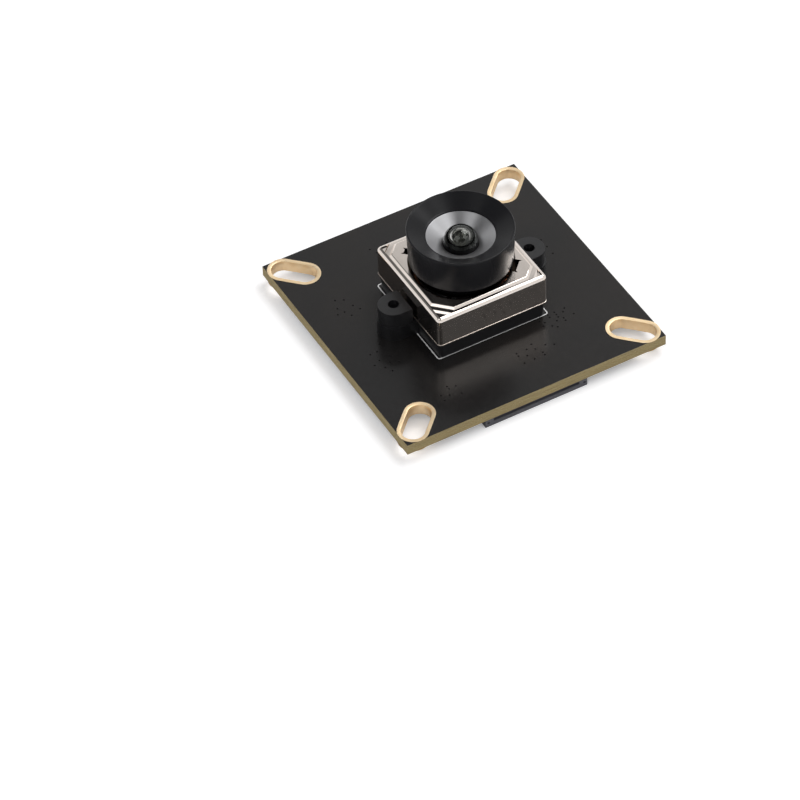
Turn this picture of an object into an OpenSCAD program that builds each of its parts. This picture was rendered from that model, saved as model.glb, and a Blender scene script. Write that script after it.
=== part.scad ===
// Autofocus camera module on a square board.
// Origin: middle of the footprint, on the plane the underside parts rest on.
// +Z is the optical axis, towards the subject; the ribbon connector opens to -Y.

/* [Board] */
// Width and depth of the square board
board_w = 38; // [37.4:0.1:40]
// Thickness of the board
board_t = 1.6; // [1.2:0.1:2]
// Distance from the board's edges to the middle of a slot
slot_edge = 3.05; // [2.8:0.05:3.6]
// Distance between the two round ends of a slot
slot_run = 3; // [2:0.1:3.4]
// Half the width of a slot
slot_r = 1.55; // [1.3:0.05:1.65]
// Width of the bare metal rim around a slot
rim_w = 0.53; // [0.3:0.01:0.6]
// Thickness of the metal lining of a slot
lining_t = 0.05; // [0.03:0.01:0.08]
// How far the metal rim stands above the board
rim_t = 0.03; // [0.02:0.01:0.05]

/* [Lens mount] */
// How far the mount's square base stands in from the can
mount_inset = 0.3; // [0.2:0.05:0.5]
// Height of the base above the board
mount_h = 2.4; // [2.3:0.05:2.6]
// Radius of the base's upright corners
mount_corner_r = 0.45; // [0.2:0.05:0.8]
// Distance from the flat inner face of an ear to its screw
ear_reach = 1.65; // [1.4:0.05:2]
// Radius of an ear's round end
ear_r = 2.05; // [1.8:0.05:2.3]
// Height of the ears above the board
ear_h = 4.4; // [3.6:0.1:4.8]
// Height of the foot that each ear stands on
foot_h = 2.2; // [1.8:0.1:2.3]
// Width of the ledge where an ear stands on its foot
ear_ledge = 0.1; // [0.05:0.01:0.2]
// Gap between the upper part of an ear and the metal can
ear_gap = 0.35; // [0.3:0.05:0.6]
// Radius of the hole through an ear
ear_hole_r = 0.73; // [0.65:0.01:0.85]
// Clearance between the image sensor and the mount's walls
room_gap = 0.8; // [0.4:0.1:1.2]
// Height of that room
room_h = 1.5; // [1.45:0.05:1.6]
// Width of the window above the sensor
window_w = 7; // [6.6:0.1:7.4]
// Depth of the recess that holds the infrared filter
filter_pocket = 0.45; // [0.35:0.05:0.5]
// Thickness of the infrared filter
filter_t = 0.3; // [0.21:0.01:0.34]
// Width of the infrared filter
filter_w = 8.2; // [7.6:0.1:8.6]
// Clearance around the filter in its recess
filter_gap = 0.1; // [0.05:0.01:0.15]

/* [Image sensor] */
// Width and depth of the sensor's body
sensor_w = 8.8; // [8.4:0.1:9]
// Height of the sensor's body
sensor_h = 0.95; // [0.8:0.05:1]
// Width of the well that holds the chip
well_w = 6.6; // [6.4:0.1:7]
// Thickness of the floor of that well
well_floor = 0.35; // [0.25:0.05:0.45]
// Width of the chip
die_w = 5.8; // [5:0.1:6.2]
// Depth of the chip
die_d = 4.8; // [4:0.1:5.4]
// Thickness of the chip
die_t = 0.25; // [0.15:0.05:0.3]
// Width of the cover glass
cover_w = 8.4; // [8:0.1:8.4]
// Thickness of the cover glass
cover_t = 0.35; // [0.3:0.05:0.4]

/* [Metal can] */
// Width and depth of the can
can_w = 16.1; // [15.6:0.1:16.4]
// Height of the can, to the middle of its top
can_h = 4.88; // [4.7:0.02:5.1]
// Thickness of its sheet
can_t = 0.25; // [0.2:0.05:0.3]
// Radius of its upright corners
can_corner_r = 0.55; // [0.45:0.05:0.8]
// Size of the rounding around the top
can_rim = 0.38; // [0.2:0.02:0.5]
// How far the middle of the top stands above its border
emboss_h = 0.28; // [0.1:0.02:0.3]
// Width of the slope between the border and the raised middle
slope_w = 0.4; // [0.3:0.05:0.6]
// Width of the border on the left
border_l = 0.55; // [0.5:0.05:0.8]
// Width of the border in front
border_f = 0.72; // [0.6:0.02:0.9]
// Width of the border on the right
border_r = 0.6; // [0.5:0.05:0.8]
// Width of the border behind
border_b = 0.72; // [0.6:0.02:0.9]
// Cut of the raised middle's front left corner
cut_fl = 2.2; // [1.8:0.05:2.6]
// Cut of its other corners
cut_other = 1.7; // [1.4:0.05:2.2]
// Distance between the cut front left corner and its pressed triangle
dip_gap = 0.85; // [0.7:0.05:1]
// Depth of the pressed triangles
dip_h = 0.12; // [0.05:0.01:0.15]
// Clearance between the round opening and the raised middle's edge in front
open_gap = 0.03; // [0.02:0.01:0.3]
// Depth of the notches in the opening
notch_d = 0.45; // [0.3:0.05:0.6]
// Half the width of the three narrow notches
notch_w = 0.7; // [0.5:0.05:0.9]
// Half the width of the front left notch
notch_wide = 1.25; // [1:0.05:1.5]

/* [Focus drive] */
// Height of the actuator's plastic base
drive_base_h = 0.75; // [0.6:0.05:0.8]
// Clearance between the lens and the hole in that base
drive_hole_gap = 0.3; // [0.2:0.05:0.4]
// Thickness of the leaf springs
leaf_t = 0.05; // [0.03:0.01:0.06]
// Thickness of the lens carrier's wall
carrier_t = 1; // [0.9:0.05:1.2]
// Thickness of the coil's winding
coil_t = 0.35; // [0.2:0.05:0.4]
// Height of the flange under the coil
flange_t = 0.35; // [0.25:0.05:0.4]
// Gap between the coil and the magnets
coil_gap = 0.2; // [0.15:0.01:0.3]
// Thickness of a magnet
magnet_t = 1.35; // [1.2:0.05:1.4]
// Length of a magnet
magnet_l = 8; // [6:0.1:8.4]
// Thickness of the frame above the magnets
top_frame_t = 0.2; // [0.15:0.05:0.3]
// Travel of the lens from far focus to near focus
focus_travel = 0.35; // [0.2:0.05:0.35]
// Room that is left above the drive at full travel
head_room = 0.2; // [0.1:0.05:0.3]
// Width of the leaf springs' rings
leaf_w = 0.55; // [0.4:0.05:0.6]
// Width of the arms that join their rings
arm_w = 0.6; // [0.3:0.1:0.8]

/* [Lens] */
// Height of the hood
hood_h = 5; // [4.8:0.1:5.4]
// Gap between the can and the hood's lower edge
hood_gap = 0.62; // [0.4:0.02:0.8]
// Radius of the hood at its front
hood_r = 6.98; // [6.8:0.01:7.1]
// Radius of the hood at its lower edge
hood_low_r = 6.77; // [6.5:0.01:6.9]
// Width of the hood's front face
hood_lip = 0.3; // [0.2:0.02:0.4]
// Radius of the inner edge of the hood's funnel
funnel_r = 4.5; // [4.4:0.05:4.8]
// Depth of the funnel
funnel_d = 1.22; // [1:0.02:1.4]
// Step under the funnel's inner edge
funnel_step = 0.15; // [0.05:0.05:0.3]
// Inner radius of the grey front ring
front_r = 2.25; // [2.1:0.05:2.6]
// Thickness of the front ring at its edge
front_t = 0.6; // [0.5:0.05:0.7]
// Fall of the front ring from its edge to its hole
front_fall = 0.27; // [0.15:0.01:0.4]
// Radius of the glass elements
glass_r = 3.2; // [3:0.05:3.4]
// Radius of the pupil
pupil_r = 1.47; // [1.2:0.01:1.6]
// Thickness of the front element
lens_1_h = 0.9; // [0.8:0.05:1]
// Thickness of the second element
lens_2_h = 1.2; // [1:0.05:1.3]
// Thickness of the third element
lens_3_h = 1.4; // [1.2:0.05:1.5]
// Gap between the front element and the pupil
stop_gap = 0.6; // [0.5:0.05:0.7]
// Gap between the second and the third element
gap_23 = 0.8; // [0.7:0.05:0.9]
// Gap between the third and the fourth element
gap_34 = 0.7; // [0.65:0.05:0.8]
// Thickness of the pupil's disc
stop_t = 0.1; // [0.05:0.01:0.15]
// Width of the spacers between the elements
spacer_w = 0.6; // [0.5:0.05:0.7]
// Thickness of the ring that holds the elements from behind
rear_ring_t = 0.5; // [0.4:0.05:0.6]
// Height of the lens's rear end above the mount
rear_gap = 0.7; // [0.65:0.05:0.8]

/* [Ribbon connector] */
// Width of the connector
fpc_w = 15; // [14.6:0.1:15.4]
// Depth of the connector
fpc_d = 4.2; // [4:0.1:4.6]
// Height of the connector
fpc_h = 1.2; // [1.2:0.05:1.4]
// Sideways place of the connector's middle
fpc_x = -0.2; // [-0.5:0.1:0.5]
// Number of contacts
contact_n = 24; // [20:1:24]
// Pitch of the contacts
contact_pitch = 0.5; // [0.48:0.01:0.52]
// Height of the mouth for the ribbon
mouth_h = 0.4; // [0.32:0.02:0.44]
// Radius of the latch's pivots
pivot_r = 0.18; // [0.15:0.01:0.2]
// Clearance around the pivots
pivot_gap = 0.03; // [0.02:0.01:0.05]

/* [Screws] */
// Radius of the screws' heads
head_r = 1.4; // [1.2:0.05:1.5]
// Height of the screws' heads
head_h = 0.9; // [0.7:0.05:1]
// Radius of the screws' threads
screw_r = 0.72; // [0.6:0.01:0.72]
// How far the screws' tips stay below the top of the ears
tip_depth = 1.15; // [0.9:0.05:1.4]
// Length of the screws' tapered tips
tip_l = 0.35; // [0.2:0.05:0.5]

/* [Parts under the board] */
// Length of the regulators' bodies
reg_l = 2.9; // [2.7:0.1:3.1]
// Depth of the regulators' bodies
reg_d = 1.6; // [1.5:0.1:1.7]
// Height of the regulators' bodies
reg_h = 1.05; // [0.9:0.05:1.15]
// Pitch of the regulators' legs
leg_pitch = 0.95; // [0.9:0.01:1]
// Width of a leg
leg_w = 0.4; // [0.3:0.05:0.5]
// Reach of a leg beyond the body
leg_l = 0.6; // [0.4:0.05:0.7]
// Thickness of a leg
leg_t = 0.2; // [0.12:0.02:0.24]
// Length of the capacitors and resistors
passive_l = 1; // [0.6:0.1:1.6]
// Width of the capacitors and resistors
passive_w = 0.5; // [0.3:0.1:0.8]
// Height of the capacitors
cap_h = 0.5; // [0.3:0.05:0.8]
// Height of the resistors
res_h = 0.35; // [0.2:0.05:0.4]
// Length of the inductors
coil_l = 2.5; // [2:0.1:3]
// Depth of the inductors
coil_d = 2; // [1.6:0.1:2.5]
// Length of the oscillator
osc_l = 2.5; // [2:0.1:3.2]
// Height of the oscillator
osc_h = 0.8; // [0.6:0.05:0.9]
// Length of the memory chip
memory_l = 3; // [2:0.1:3.2]
// Height of the memory chip
memory_h = 0.75; // [0.5:0.05:0.8]
// Length of the focus driver
driver_l = 1.3; // [0.8:0.1:2]
// Height of the focus driver
driver_h = 0.4; // [0.3:0.05:0.5]

/* [Hidden] */
$fn = 64;
e = 0.01;
// heights from the plane that the underside parts rest on
under_h = fpc_h;
top_z = under_h + board_t;
// slots, mount and can in plan
slot_c = (board_w / 2 - slot_edge) * sqrt(2);
mount_w = can_w - 2 * mount_inset;
ear_x = can_w / 2 + ear_gap + ear_reach;
can_in = can_w / 2 - can_t;
can_edge_l = -can_w / 2 + border_l;
can_edge_f = -can_w / 2 + border_f;
can_edge_r = can_w / 2 - border_r;
can_edge_b = can_w / 2 - border_b;
open_r = can_w / 2 - border_f - slope_w - open_gap;
room_w = sensor_w + 2 * room_gap;
// focus drive, from the can inwards
magnet_in = can_in - magnet_t;
coil_or = magnet_in - coil_gap;
carrier_r = coil_or - coil_t;
thread_r = carrier_r - carrier_t;
drive_hole_r = thread_r + drive_hole_gap;
// heights above the board
shelf_h = can_h - emboss_h;
base_top = mount_h + drive_base_h;
carrier_z = base_top + leaf_t;
carrier_h = shelf_h - can_t - drive_base_h - 2 * leaf_t - focus_travel - head_room;
carrier_top = carrier_z + carrier_h;
magnet_top = carrier_top - top_frame_t;
hood_low = mount_h + can_h + hood_gap;
hood_top = hood_low + hood_h;
rear_z = mount_h + rear_gap;
seat_z = hood_top - funnel_d - funnel_step - front_t;
lens_1_z = seat_z - lens_1_h;
stop_z = lens_1_z - stop_gap;
lens_2_z = stop_z - stop_t - lens_2_h;
lens_3_z = lens_2_z - gap_23 - lens_3_h;
lens_4_z = rear_z + 0.3 + rear_ring_t;
lens_4_h = lens_3_z - gap_34 - lens_4_z;
// ribbon connector
latch_bay = 1.65;
pivot_y = -board_w / 2 + fpc_d - latch_bay + 0.55;
pivot_z = 0.42;
latch_w = fpc_w - 1.6;
// rows of small parts, from the board's front and rear edges
row_f = -board_w / 2 + 11;
row_b = board_w / 2 - 10.5;
plate_col = [0.86, 0.70, 0.45];
black = [0.10, 0.10, 0.11];

// ---- shared shapes ----

// upright box centred in plan, with true round upright corners
module round_box(w, d, h, r) {
    union() {
        translate([-w / 2 + r, -d / 2, 0]) cube([w - 2 * r, d, h]);
        translate([-w / 2, -d / 2 + r, 0]) cube([w, d - 2 * r, h]);
        for (x = [-1, 1], y = [-1, 1])
            translate([x * (w / 2 - r), y * (d / 2 - r), 0]) cylinder(r = r, h = h);
    }
}

// slot shape of half width r, lying along X
module slot_bar(r, h) {
    union() {
        for (s = [-1, 1]) translate([s * slot_run / 2, 0, 0]) cylinder(r = r, h = h);
        translate([-slot_run / 2, -r, 0]) cube([slot_run, 2 * r, h]);
    }
}

// the children in each corner of the board, along its diagonals
module at_slots() {
    for (a = [45, 135, 225, 315]) rotate([0, 0, a]) translate([slot_c, 0, 0]) children();
}

module tube(ro, ri, z, h) {
    translate([0, 0, z]) difference() {
        cylinder(r = ro, h = h);
        translate([0, 0, -e]) cylinder(r = ri, h = h + 2 * e);
    }
}

// ---- board ----

module pcb() {
    color(black) difference() {
        translate([-board_w / 2, -board_w / 2, under_h]) cube([board_w, board_w, board_t]);
        translate([0, 0, under_h - e]) at_slots() slot_bar(slot_r + lining_t, board_t + 2 * e);
        for (s = [-1, 1]) translate([s * ear_x, 0, under_h - e])
            cylinder(r = screw_r + 0.2, h = board_t + 2 * e);
    }
}

module slot_lining() {
    intersection() {
        difference() {
            union() {
                at_slots() slot_bar(slot_r + lining_t, board_t);
                translate([0, 0, board_t]) at_slots() slot_bar(slot_r + rim_w, rim_t);
                translate([0, 0, -rim_t]) at_slots() slot_bar(slot_r + rim_w, rim_t);
            }
            translate([0, 0, -rim_t - e]) at_slots() slot_bar(slot_r, board_t + 2 * rim_t + 2 * e);
        }
        translate([-board_w / 2, -board_w / 2, -rim_t])
            cube([board_w, board_w, board_t + 2 * rim_t]);
    }
}

module slot_plating() {
    color(plate_col) translate([0, 0, under_h]) slot_lining();
}

// ---- lens mount ----

module ear(r, h, inner) {
    intersection() {
        union() {
            translate([ear_x, 0, 0]) cylinder(r = r, h = h);
            translate([0, -r, 0]) cube([ear_x, 2 * r, h]);
        }
        translate([inner, -r, 0]) cube([ear_x + r - inner, 2 * r, h]);
    }
}

module lens_mount() {
    color(black) translate([0, 0, top_z]) difference() {
        union() {
            round_box(mount_w, mount_w, mount_h, mount_corner_r);
            for (a = [0, 180]) rotate([0, 0, a]) {
                ear(ear_r + ear_ledge, foot_h, 0);
                ear(ear_r, ear_h, can_w / 2 + ear_gap);
            }
        }
        for (s = [-1, 1]) translate([s * ear_x, 0, -e]) cylinder(r = ear_hole_r, h = ear_h + 2 * e);
        translate([-room_w / 2, -room_w / 2, -e]) cube([room_w, room_w, room_h + e]);
        translate([-window_w / 2, -window_w / 2, 0]) cube([window_w, window_w, mount_h + e]);
        translate([-filter_w / 2 - filter_gap, -filter_w / 2 - filter_gap, mount_h - filter_pocket])
            cube([filter_w + 2 * filter_gap, filter_w + 2 * filter_gap, filter_pocket + e]);
    }
}

module ir_filter() {
    color([0.35, 0.6, 0.65, 0.5]) translate([-filter_w / 2, -filter_w / 2, top_z + mount_h - filter_pocket])
        cube([filter_w, filter_w, filter_t]);
}

module sensor_body() {
    color([0.75, 0.7, 0.6]) translate([0, 0, top_z]) difference() {
        translate([-sensor_w / 2, -sensor_w / 2, 0]) cube([sensor_w, sensor_w, sensor_h]);
        translate([-well_w / 2, -well_w / 2, well_floor]) cube([well_w, well_w, sensor_h]);
    }
}

module sensor_die() {
    color([0.2, 0.25, 0.3]) translate([-die_w / 2, -die_d / 2, top_z + well_floor])
        cube([die_w, die_d, die_t]);
}

module sensor_cover() {
    color([0.8, 0.9, 0.95, 0.4]) translate([-cover_w / 2, -cover_w / 2, top_z + sensor_h])
        cube([cover_w, cover_w, cover_t]);
}

// ---- metal can ----

// outline of the raised middle, moved inwards by g
module plateau(g) {
    k = g * (2 - sqrt(2));
    l = can_edge_l + g;
    f = can_edge_f + g;
    r = can_edge_r - g;
    b = can_edge_b - g;
    cf = cut_fl - k;
    co = cut_other - k;
    polygon([[l + cf, f], [r - co, f], [r, f + co], [r, b - co], [r - co, b], [l + co, b],
        [l, b - co], [l, f + cf]]);
}

// can's outline drawn in by g, from height z up
module can_layer(g, z) {
    translate([0, 0, z]) round_box(can_w - 2 * g, can_w - 2 * g, e, can_corner_r - g, $fn = 32);
}

module can_shell() {
    difference() {
        union() {
            round_box(can_w, can_w, shelf_h - can_rim, can_corner_r);
            // rounded shoulder in two steps
            hull() {
                can_layer(0, shelf_h - can_rim - e);
                can_layer(can_rim * 0.3, shelf_h - can_rim * 0.3);
            }
            hull() {
                can_layer(can_rim * 0.3, shelf_h - can_rim * 0.3 - e);
                can_layer(can_rim, shelf_h - e);
            }
            // raised middle with a sloping edge
            hull() {
                translate([0, 0, shelf_h - 2 * e]) linear_extrude(e) plateau(0);
                translate([0, 0, can_h - e]) linear_extrude(e) plateau(slope_w);
            }
        }
        translate([0, 0, -e])
            round_box(2 * can_in, 2 * can_in, shelf_h - can_t + e, can_corner_r - can_t);
        // pressed corners of the border
        corner_dip(can_edge_l, can_edge_f, cut_fl);
        corner_dip(can_edge_r, can_edge_f, cut_other);
        corner_dip(can_edge_l, can_edge_b, cut_other);
        corner_dip(can_edge_r, can_edge_b, cut_other);
    }
}

// shallow triangle pressed into the border beyond the raised middle's corner at x, y
module corner_dip(x, y, cut) {
    sx = sign(x);
    sy = sign(y);
    m = can_w / 2 - can_rim + 0.05;
    s = abs(x) + abs(y) - cut + dip_gap * sqrt(2);
    if (2 * m - s > 0.5)
        translate([0, 0, shelf_h - dip_h]) linear_extrude(can_h)
            polygon([[sx * m, sy * m], [sx * m, sy * (s - m)], [sx * (s - m), sy * m]]);
}

// notch with flared ends at the opening's edge, half as wide as w on each side
module notch(w, flare) {
    reach = open_r + notch_d;
    linear_extrude(2 * can_h) polygon([[open_r - 1, -w], [reach + flare, -w - flare],
        [reach, -w + flare], [reach, w - flare], [reach + flare, w + flare], [open_r - 1, w]]);
}

module can() {
    color([0.80, 0.74, 0.70]) translate([0, 0, top_z + mount_h]) difference() {
        can_shell();
        translate([0, 0, shelf_h - can_t - 2 * e]) {
            cylinder(r = open_r, h = 2 * emboss_h + can_t);
            for (a = [-45, 45, 135]) rotate([0, 0, a]) notch(notch_w, 0.25);
            rotate([0, 0, 225]) notch(notch_wide, 0);
        }
    }
}

// ---- focus drive ----

module actuator_base() {
    color(black) translate([0, 0, top_z + mount_h]) difference() {
        round_box(2 * can_in, 2 * can_in, drive_base_h, can_corner_r - can_t);
        translate([0, 0, -e]) cylinder(r = drive_hole_r, h = drive_base_h + 2 * e);
    }
}

// leaf spring: square outer frame, round inner ring, four arms
module leaf(z) {
    translate([0, 0, top_z + z]) union() {
        difference() {
            translate([-can_in + 0.1, -can_in + 0.1, 0])
                cube([2 * can_in - 0.2, 2 * can_in - 0.2, leaf_t]);
            translate([0, 0, -e]) cylinder(r = coil_or + 0.25, h = leaf_t + 2 * e);
        }
        difference() {
            cylinder(r = carrier_r, h = leaf_t);
            translate([0, 0, -e]) cylinder(r = carrier_r - leaf_w, h = leaf_t + 2 * e);
        }
        for (a = [45, 135, 225, 315]) rotate([0, 0, a])
            translate([carrier_r - leaf_w / 2, -arm_w / 2, 0]) cube([2 * leaf_w, arm_w, leaf_t]);
    }
}

module spring_lower() { color([0.75, 0.6, 0.4]) leaf(base_top); }

module spring_upper() { color([0.75, 0.6, 0.4]) leaf(carrier_top); }

module magnets() {
    color([0.6, 0.6, 0.62]) for (a = [0, 90, 180, 270]) rotate([0, 0, a])
        translate([magnet_in, -magnet_l / 2, top_z + carrier_z])
            cube([magnet_t, magnet_l, magnet_top - carrier_z]);
}

module top_frame() {
    color(black) translate([0, 0, top_z + magnet_top]) difference() {
        round_box(2 * can_in, 2 * can_in, top_frame_t, can_corner_r - can_t);
        translate([0, 0, -e]) cylinder(r = magnet_in, h = top_frame_t + 2 * e);
    }
}

module lens_carrier() {
    color(black) translate([0, 0, top_z + carrier_z]) difference() {
        union() {
            cylinder(r = carrier_r, h = carrier_h);
            cylinder(r = coil_or, h = flange_t);
        }
        translate([0, 0, -e]) cylinder(r = thread_r, h = carrier_h + 2 * e);
    }
}

module coil() {
    color([0.72, 0.4, 0.2])
        tube(coil_or, carrier_r, top_z + carrier_z + flange_t, carrier_h - 2 * flange_t);
}

// ---- lens ----

module lens_barrel() {
    color(black) translate([0, 0, top_z]) difference() {
        rotate_extrude() polygon([[0, rear_z], [thread_r, rear_z], [thread_r, hood_low],
            [hood_low_r - 0.15, hood_low], [hood_low_r, hood_low + 0.15],
            [hood_r, hood_top - 0.12], [hood_r - 0.12, hood_top], [0, hood_top]]);
        // funnel, then the step that holds the front ring
        rotate_extrude() polygon([[0, seat_z], [funnel_r, seat_z],
            [funnel_r, hood_top - funnel_d], [hood_r - hood_lip, hood_top],
            [hood_r - hood_lip, hood_top + 1], [0, hood_top + 1]]);
        translate([0, 0, rear_z - e]) cylinder(r = glass_r, h = seat_z - rear_z + 1);
    }
}

module front_ring() {
    color([0.6, 0.6, 0.6]) translate([0, 0, top_z]) rotate_extrude()
        polygon([[front_r, seat_z], [funnel_r, seat_z], [funnel_r, seat_z + front_t],
            [front_r, seat_z + front_t - front_fall]]);
}

// round element between two faces; bulge above zero swells out of the face
function arc(r, z, bulge) = [for (i = [0:8]) [r * i / 8, z + bulge * (1 - (i / 8) * (i / 8))]];

module element(z, h, up, down, r_face) {
    top = arc(r_face, z + h, up);
    low = arc(r_face, z, down);
    translate([0, 0, top_z]) rotate_extrude()
        polygon(concat(low, [[glass_r, z], [glass_r, z + h]], [for (i = [8:-1:0]) top[i]]));
}

module spacer(z, h) { tube(glass_r, glass_r - spacer_w, top_z + z, h); }

module lens_1() { color([0.55, 0.62, 0.66, 0.5]) element(lens_1_z, lens_1_h, 0.15, 0.4, 0.7 * glass_r); }
module lens_2() { color([0.6, 0.65, 0.68, 0.5]) element(lens_2_z, lens_2_h, -0.3, -0.2, 0.7 * glass_r); }
module lens_3() { color([0.6, 0.65, 0.68, 0.5]) element(lens_3_z, lens_3_h, 0.3, -0.3, 0.7 * glass_r); }
module lens_4() { color([0.6, 0.65, 0.68, 0.5]) element(lens_4_z, lens_4_h, 0.2, 0.2, 0.7 * glass_r); }

module spacer_1() { color(black) spacer(stop_z, stop_gap); }
module aperture_stop() {
    color([0.05, 0.05, 0.05]) tube(glass_r, pupil_r, top_z + stop_z - stop_t, stop_t);
}
module spacer_2() { color(black) spacer(lens_2_z - gap_23, gap_23); }
module spacer_3() { color(black) spacer(lens_3_z - gap_34, gap_34); }
module rear_ring() { color(black) spacer(rear_z + 0.3, rear_ring_t); }

// ---- screws ----

module mount_screw() {
    shank = board_t + ear_h - tip_depth;
    union() {
        difference() {
            translate([0, 0, -head_h]) cylinder(r = head_r, h = head_h);
            for (a = [0, 90]) rotate([0, 0, a])
                translate([-0.75, -0.16, -head_h - e]) cube([1.5, 0.32, 0.45]);
        }
        cylinder(r = screw_r, h = shank - tip_l);
        translate([0, 0, shank - tip_l]) cylinder(r1 = screw_r, r2 = screw_r / 2, h = tip_l);
    }
}

module mount_screws() {
    color([0.5, 0.5, 0.52]) for (s = [-1, 1]) translate([s * ear_x, 0, under_h]) mount_screw();
}

// ---- ribbon connector, under the board's front edge ----

module fpc_housing() {
    mouth_w = (contact_n - 1) * contact_pitch + 1.1;
    color([0.12, 0.12, 0.14]) translate([fpc_x, -board_w / 2, 0]) difference() {
        translate([-fpc_w / 2, 0, 0]) cube([fpc_w, fpc_d, fpc_h]);
        // mouth for the ribbon
        translate([-mouth_w / 2, -e, fpc_h - 0.05 - mouth_h]) cube([mouth_w, 2.6, mouth_h]);
        // bay for the latch, with the bearings of its pivots
        translate([-latch_w / 2 - 0.1, fpc_d - latch_bay, -e])
            cube([latch_w + 0.2, latch_bay + e, 0.75 + e]);
        translate([-latch_w / 2 - 0.5, pivot_y + board_w / 2, pivot_z]) rotate([0, 90, 0])
            cylinder(r = pivot_r + pivot_gap, h = latch_w + 1, $fn = 32);
    }
}

module fpc_contacts() {
    color([0.85, 0.72, 0.4]) for (i = [0:contact_n - 1])
        translate([fpc_x + (i - (contact_n - 1) / 2) * contact_pitch, -board_w / 2, 0]) {
            translate([-0.1, fpc_d, fpc_h - 0.15]) cube([0.2, 0.6, 0.15]);
        }
}

module fpc_latch() {
    color([0.25, 0.22, 0.2]) translate([fpc_x, 0, 0]) union() {
        translate([-latch_w / 2, pivot_y - 0.25, 0.05]) cube([latch_w, 1.3, 0.55]);
        translate([-latch_w / 2 - 0.3, pivot_y, pivot_z]) rotate([0, 90, 0])
            cylinder(r = pivot_r, h = latch_w + 0.6, $fn = 32);
    }
}

module fpc_tabs() {
    color([0.75, 0.75, 0.75]) for (s = [-1, 1])
        translate([fpc_x + s * (fpc_w / 2 + 0.15) - 0.15, -board_w / 2 + 0.9, fpc_h - 0.7])
            cube([0.3, 1.8, 0.7]);
}

// ---- parts under the board ----

// part of size s whose middle is at x, y, hanging from the board
module under(x, y, s) {
    translate([x - s[0] / 2, y - s[1] / 2, under_h - s[2]]) cube(s);
}

module regulator(x, y) {
    leg_y = (reg_d + leg_l) / 2;
    union() {
        under(x, y, [reg_l, reg_d, reg_h]);
        for (i = [-1, 0, 1]) under(x + i * leg_pitch, y - leg_y, [leg_w, leg_l + 2 * e, leg_t]);
        for (i = [-1, 1]) under(x + i * leg_pitch, y + leg_y, [leg_w, leg_l + 2 * e, leg_t]);
    }
}

module regulators() {
    color([0.15, 0.15, 0.15]) for (i = [-2:0]) regulator(i * (reg_l + 1.6), row_f);
}

module oscillator() { color([0.8, 0.8, 0.78]) under(3 * reg_l, row_f, [osc_l, coil_d, osc_h]); }
module memory_chip() { color([0.15, 0.15, 0.15]) under(2 * memory_l, row_b, [memory_l, coil_d, memory_h]); }
module focus_driver() {
    color([0.2, 0.2, 0.22]) under(-2 * memory_l, row_b, [driver_l, passive_l, driver_h]);
}

module inductors() {
    color([0.35, 0.35, 0.36]) for (s = [-1, 1])
        under(s * 1.8 * coil_l, row_b + 6.5, [coil_l, coil_d, under_h]);
}

// row of n small parts of height h along X, at y
module row(n, y, h) {
    for (i = [0:n - 1]) under(4 * passive_w * (i - (n - 1) / 2), y, [passive_w, passive_l, h]);
}

module capacitors() {
    color([0.7, 0.6, 0.45]) {
        row(7, row_f + 3.4 * passive_l, cap_h);
        row(7, row_b - 3.4 * passive_l, cap_h);
    }
}

module resistors() {
    color([0.12, 0.12, 0.12]) {
        row(5, row_f - 4.2 * passive_l, res_h);
        row(5, row_b + 3.1 * passive_l, res_h);
    }
}

pcb();
slot_plating();
lens_mount();
can();
lens_barrel();
front_ring();
lens_1();
aperture_stop();
mount_screws();
fpc_housing();
fpc_contacts();
fpc_latch();
fpc_tabs();
actuator_base();
spring_lower();
magnets();
top_frame();
spring_upper();
lens_carrier();
coil();
lens_2();
lens_3();
lens_4();
spacer_1();
spacer_2();
spacer_3();
rear_ring();
ir_filter();
sensor_body();
sensor_die();
sensor_cover();
regulators();
oscillator();
memory_chip();
focus_driver();
inductors();
capacitors();
resistors();
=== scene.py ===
import math
import bpy
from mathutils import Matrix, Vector


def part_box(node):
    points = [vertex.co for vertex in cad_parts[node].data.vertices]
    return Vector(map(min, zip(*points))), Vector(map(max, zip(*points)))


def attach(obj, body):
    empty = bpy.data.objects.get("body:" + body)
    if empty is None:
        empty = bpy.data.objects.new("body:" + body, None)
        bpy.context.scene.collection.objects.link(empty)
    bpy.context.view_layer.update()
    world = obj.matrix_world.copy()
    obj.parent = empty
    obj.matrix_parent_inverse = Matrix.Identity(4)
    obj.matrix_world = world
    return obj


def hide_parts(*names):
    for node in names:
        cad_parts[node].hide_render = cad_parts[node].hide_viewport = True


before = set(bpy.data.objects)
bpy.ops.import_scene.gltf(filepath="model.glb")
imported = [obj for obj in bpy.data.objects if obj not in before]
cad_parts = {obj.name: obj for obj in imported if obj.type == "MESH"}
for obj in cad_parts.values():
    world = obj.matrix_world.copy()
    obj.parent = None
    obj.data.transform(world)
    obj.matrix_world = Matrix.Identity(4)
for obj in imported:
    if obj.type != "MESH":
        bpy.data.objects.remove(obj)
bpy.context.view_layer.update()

# Autofocus camera module. Metres; the optical axis is +Z, the ribbon connector opens to -Y.

mm = 0.001
boardLow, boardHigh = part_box("pcb")
boardTop = boardHigh.z
canLow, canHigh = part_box("can")


def startFresh():
    # out of edit mode, with nothing selected
    if bpy.context.object and bpy.context.object.mode != "OBJECT":
        bpy.ops.object.mode_set(mode="OBJECT")
    bpy.ops.object.select_all(action="DESELECT")


def makeActive(piece):
    startFresh()
    piece.select_set(True)
    bpy.context.view_layer.objects.active = piece


def editAll(piece, kind="FACE"):
    makeActive(piece)
    bpy.ops.object.mode_set(mode="EDIT")
    bpy.ops.mesh.select_mode(type=kind)
    bpy.ops.mesh.select_all(action="SELECT")


def leaveEdit():
    bpy.ops.object.mode_set(mode="OBJECT")


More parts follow.
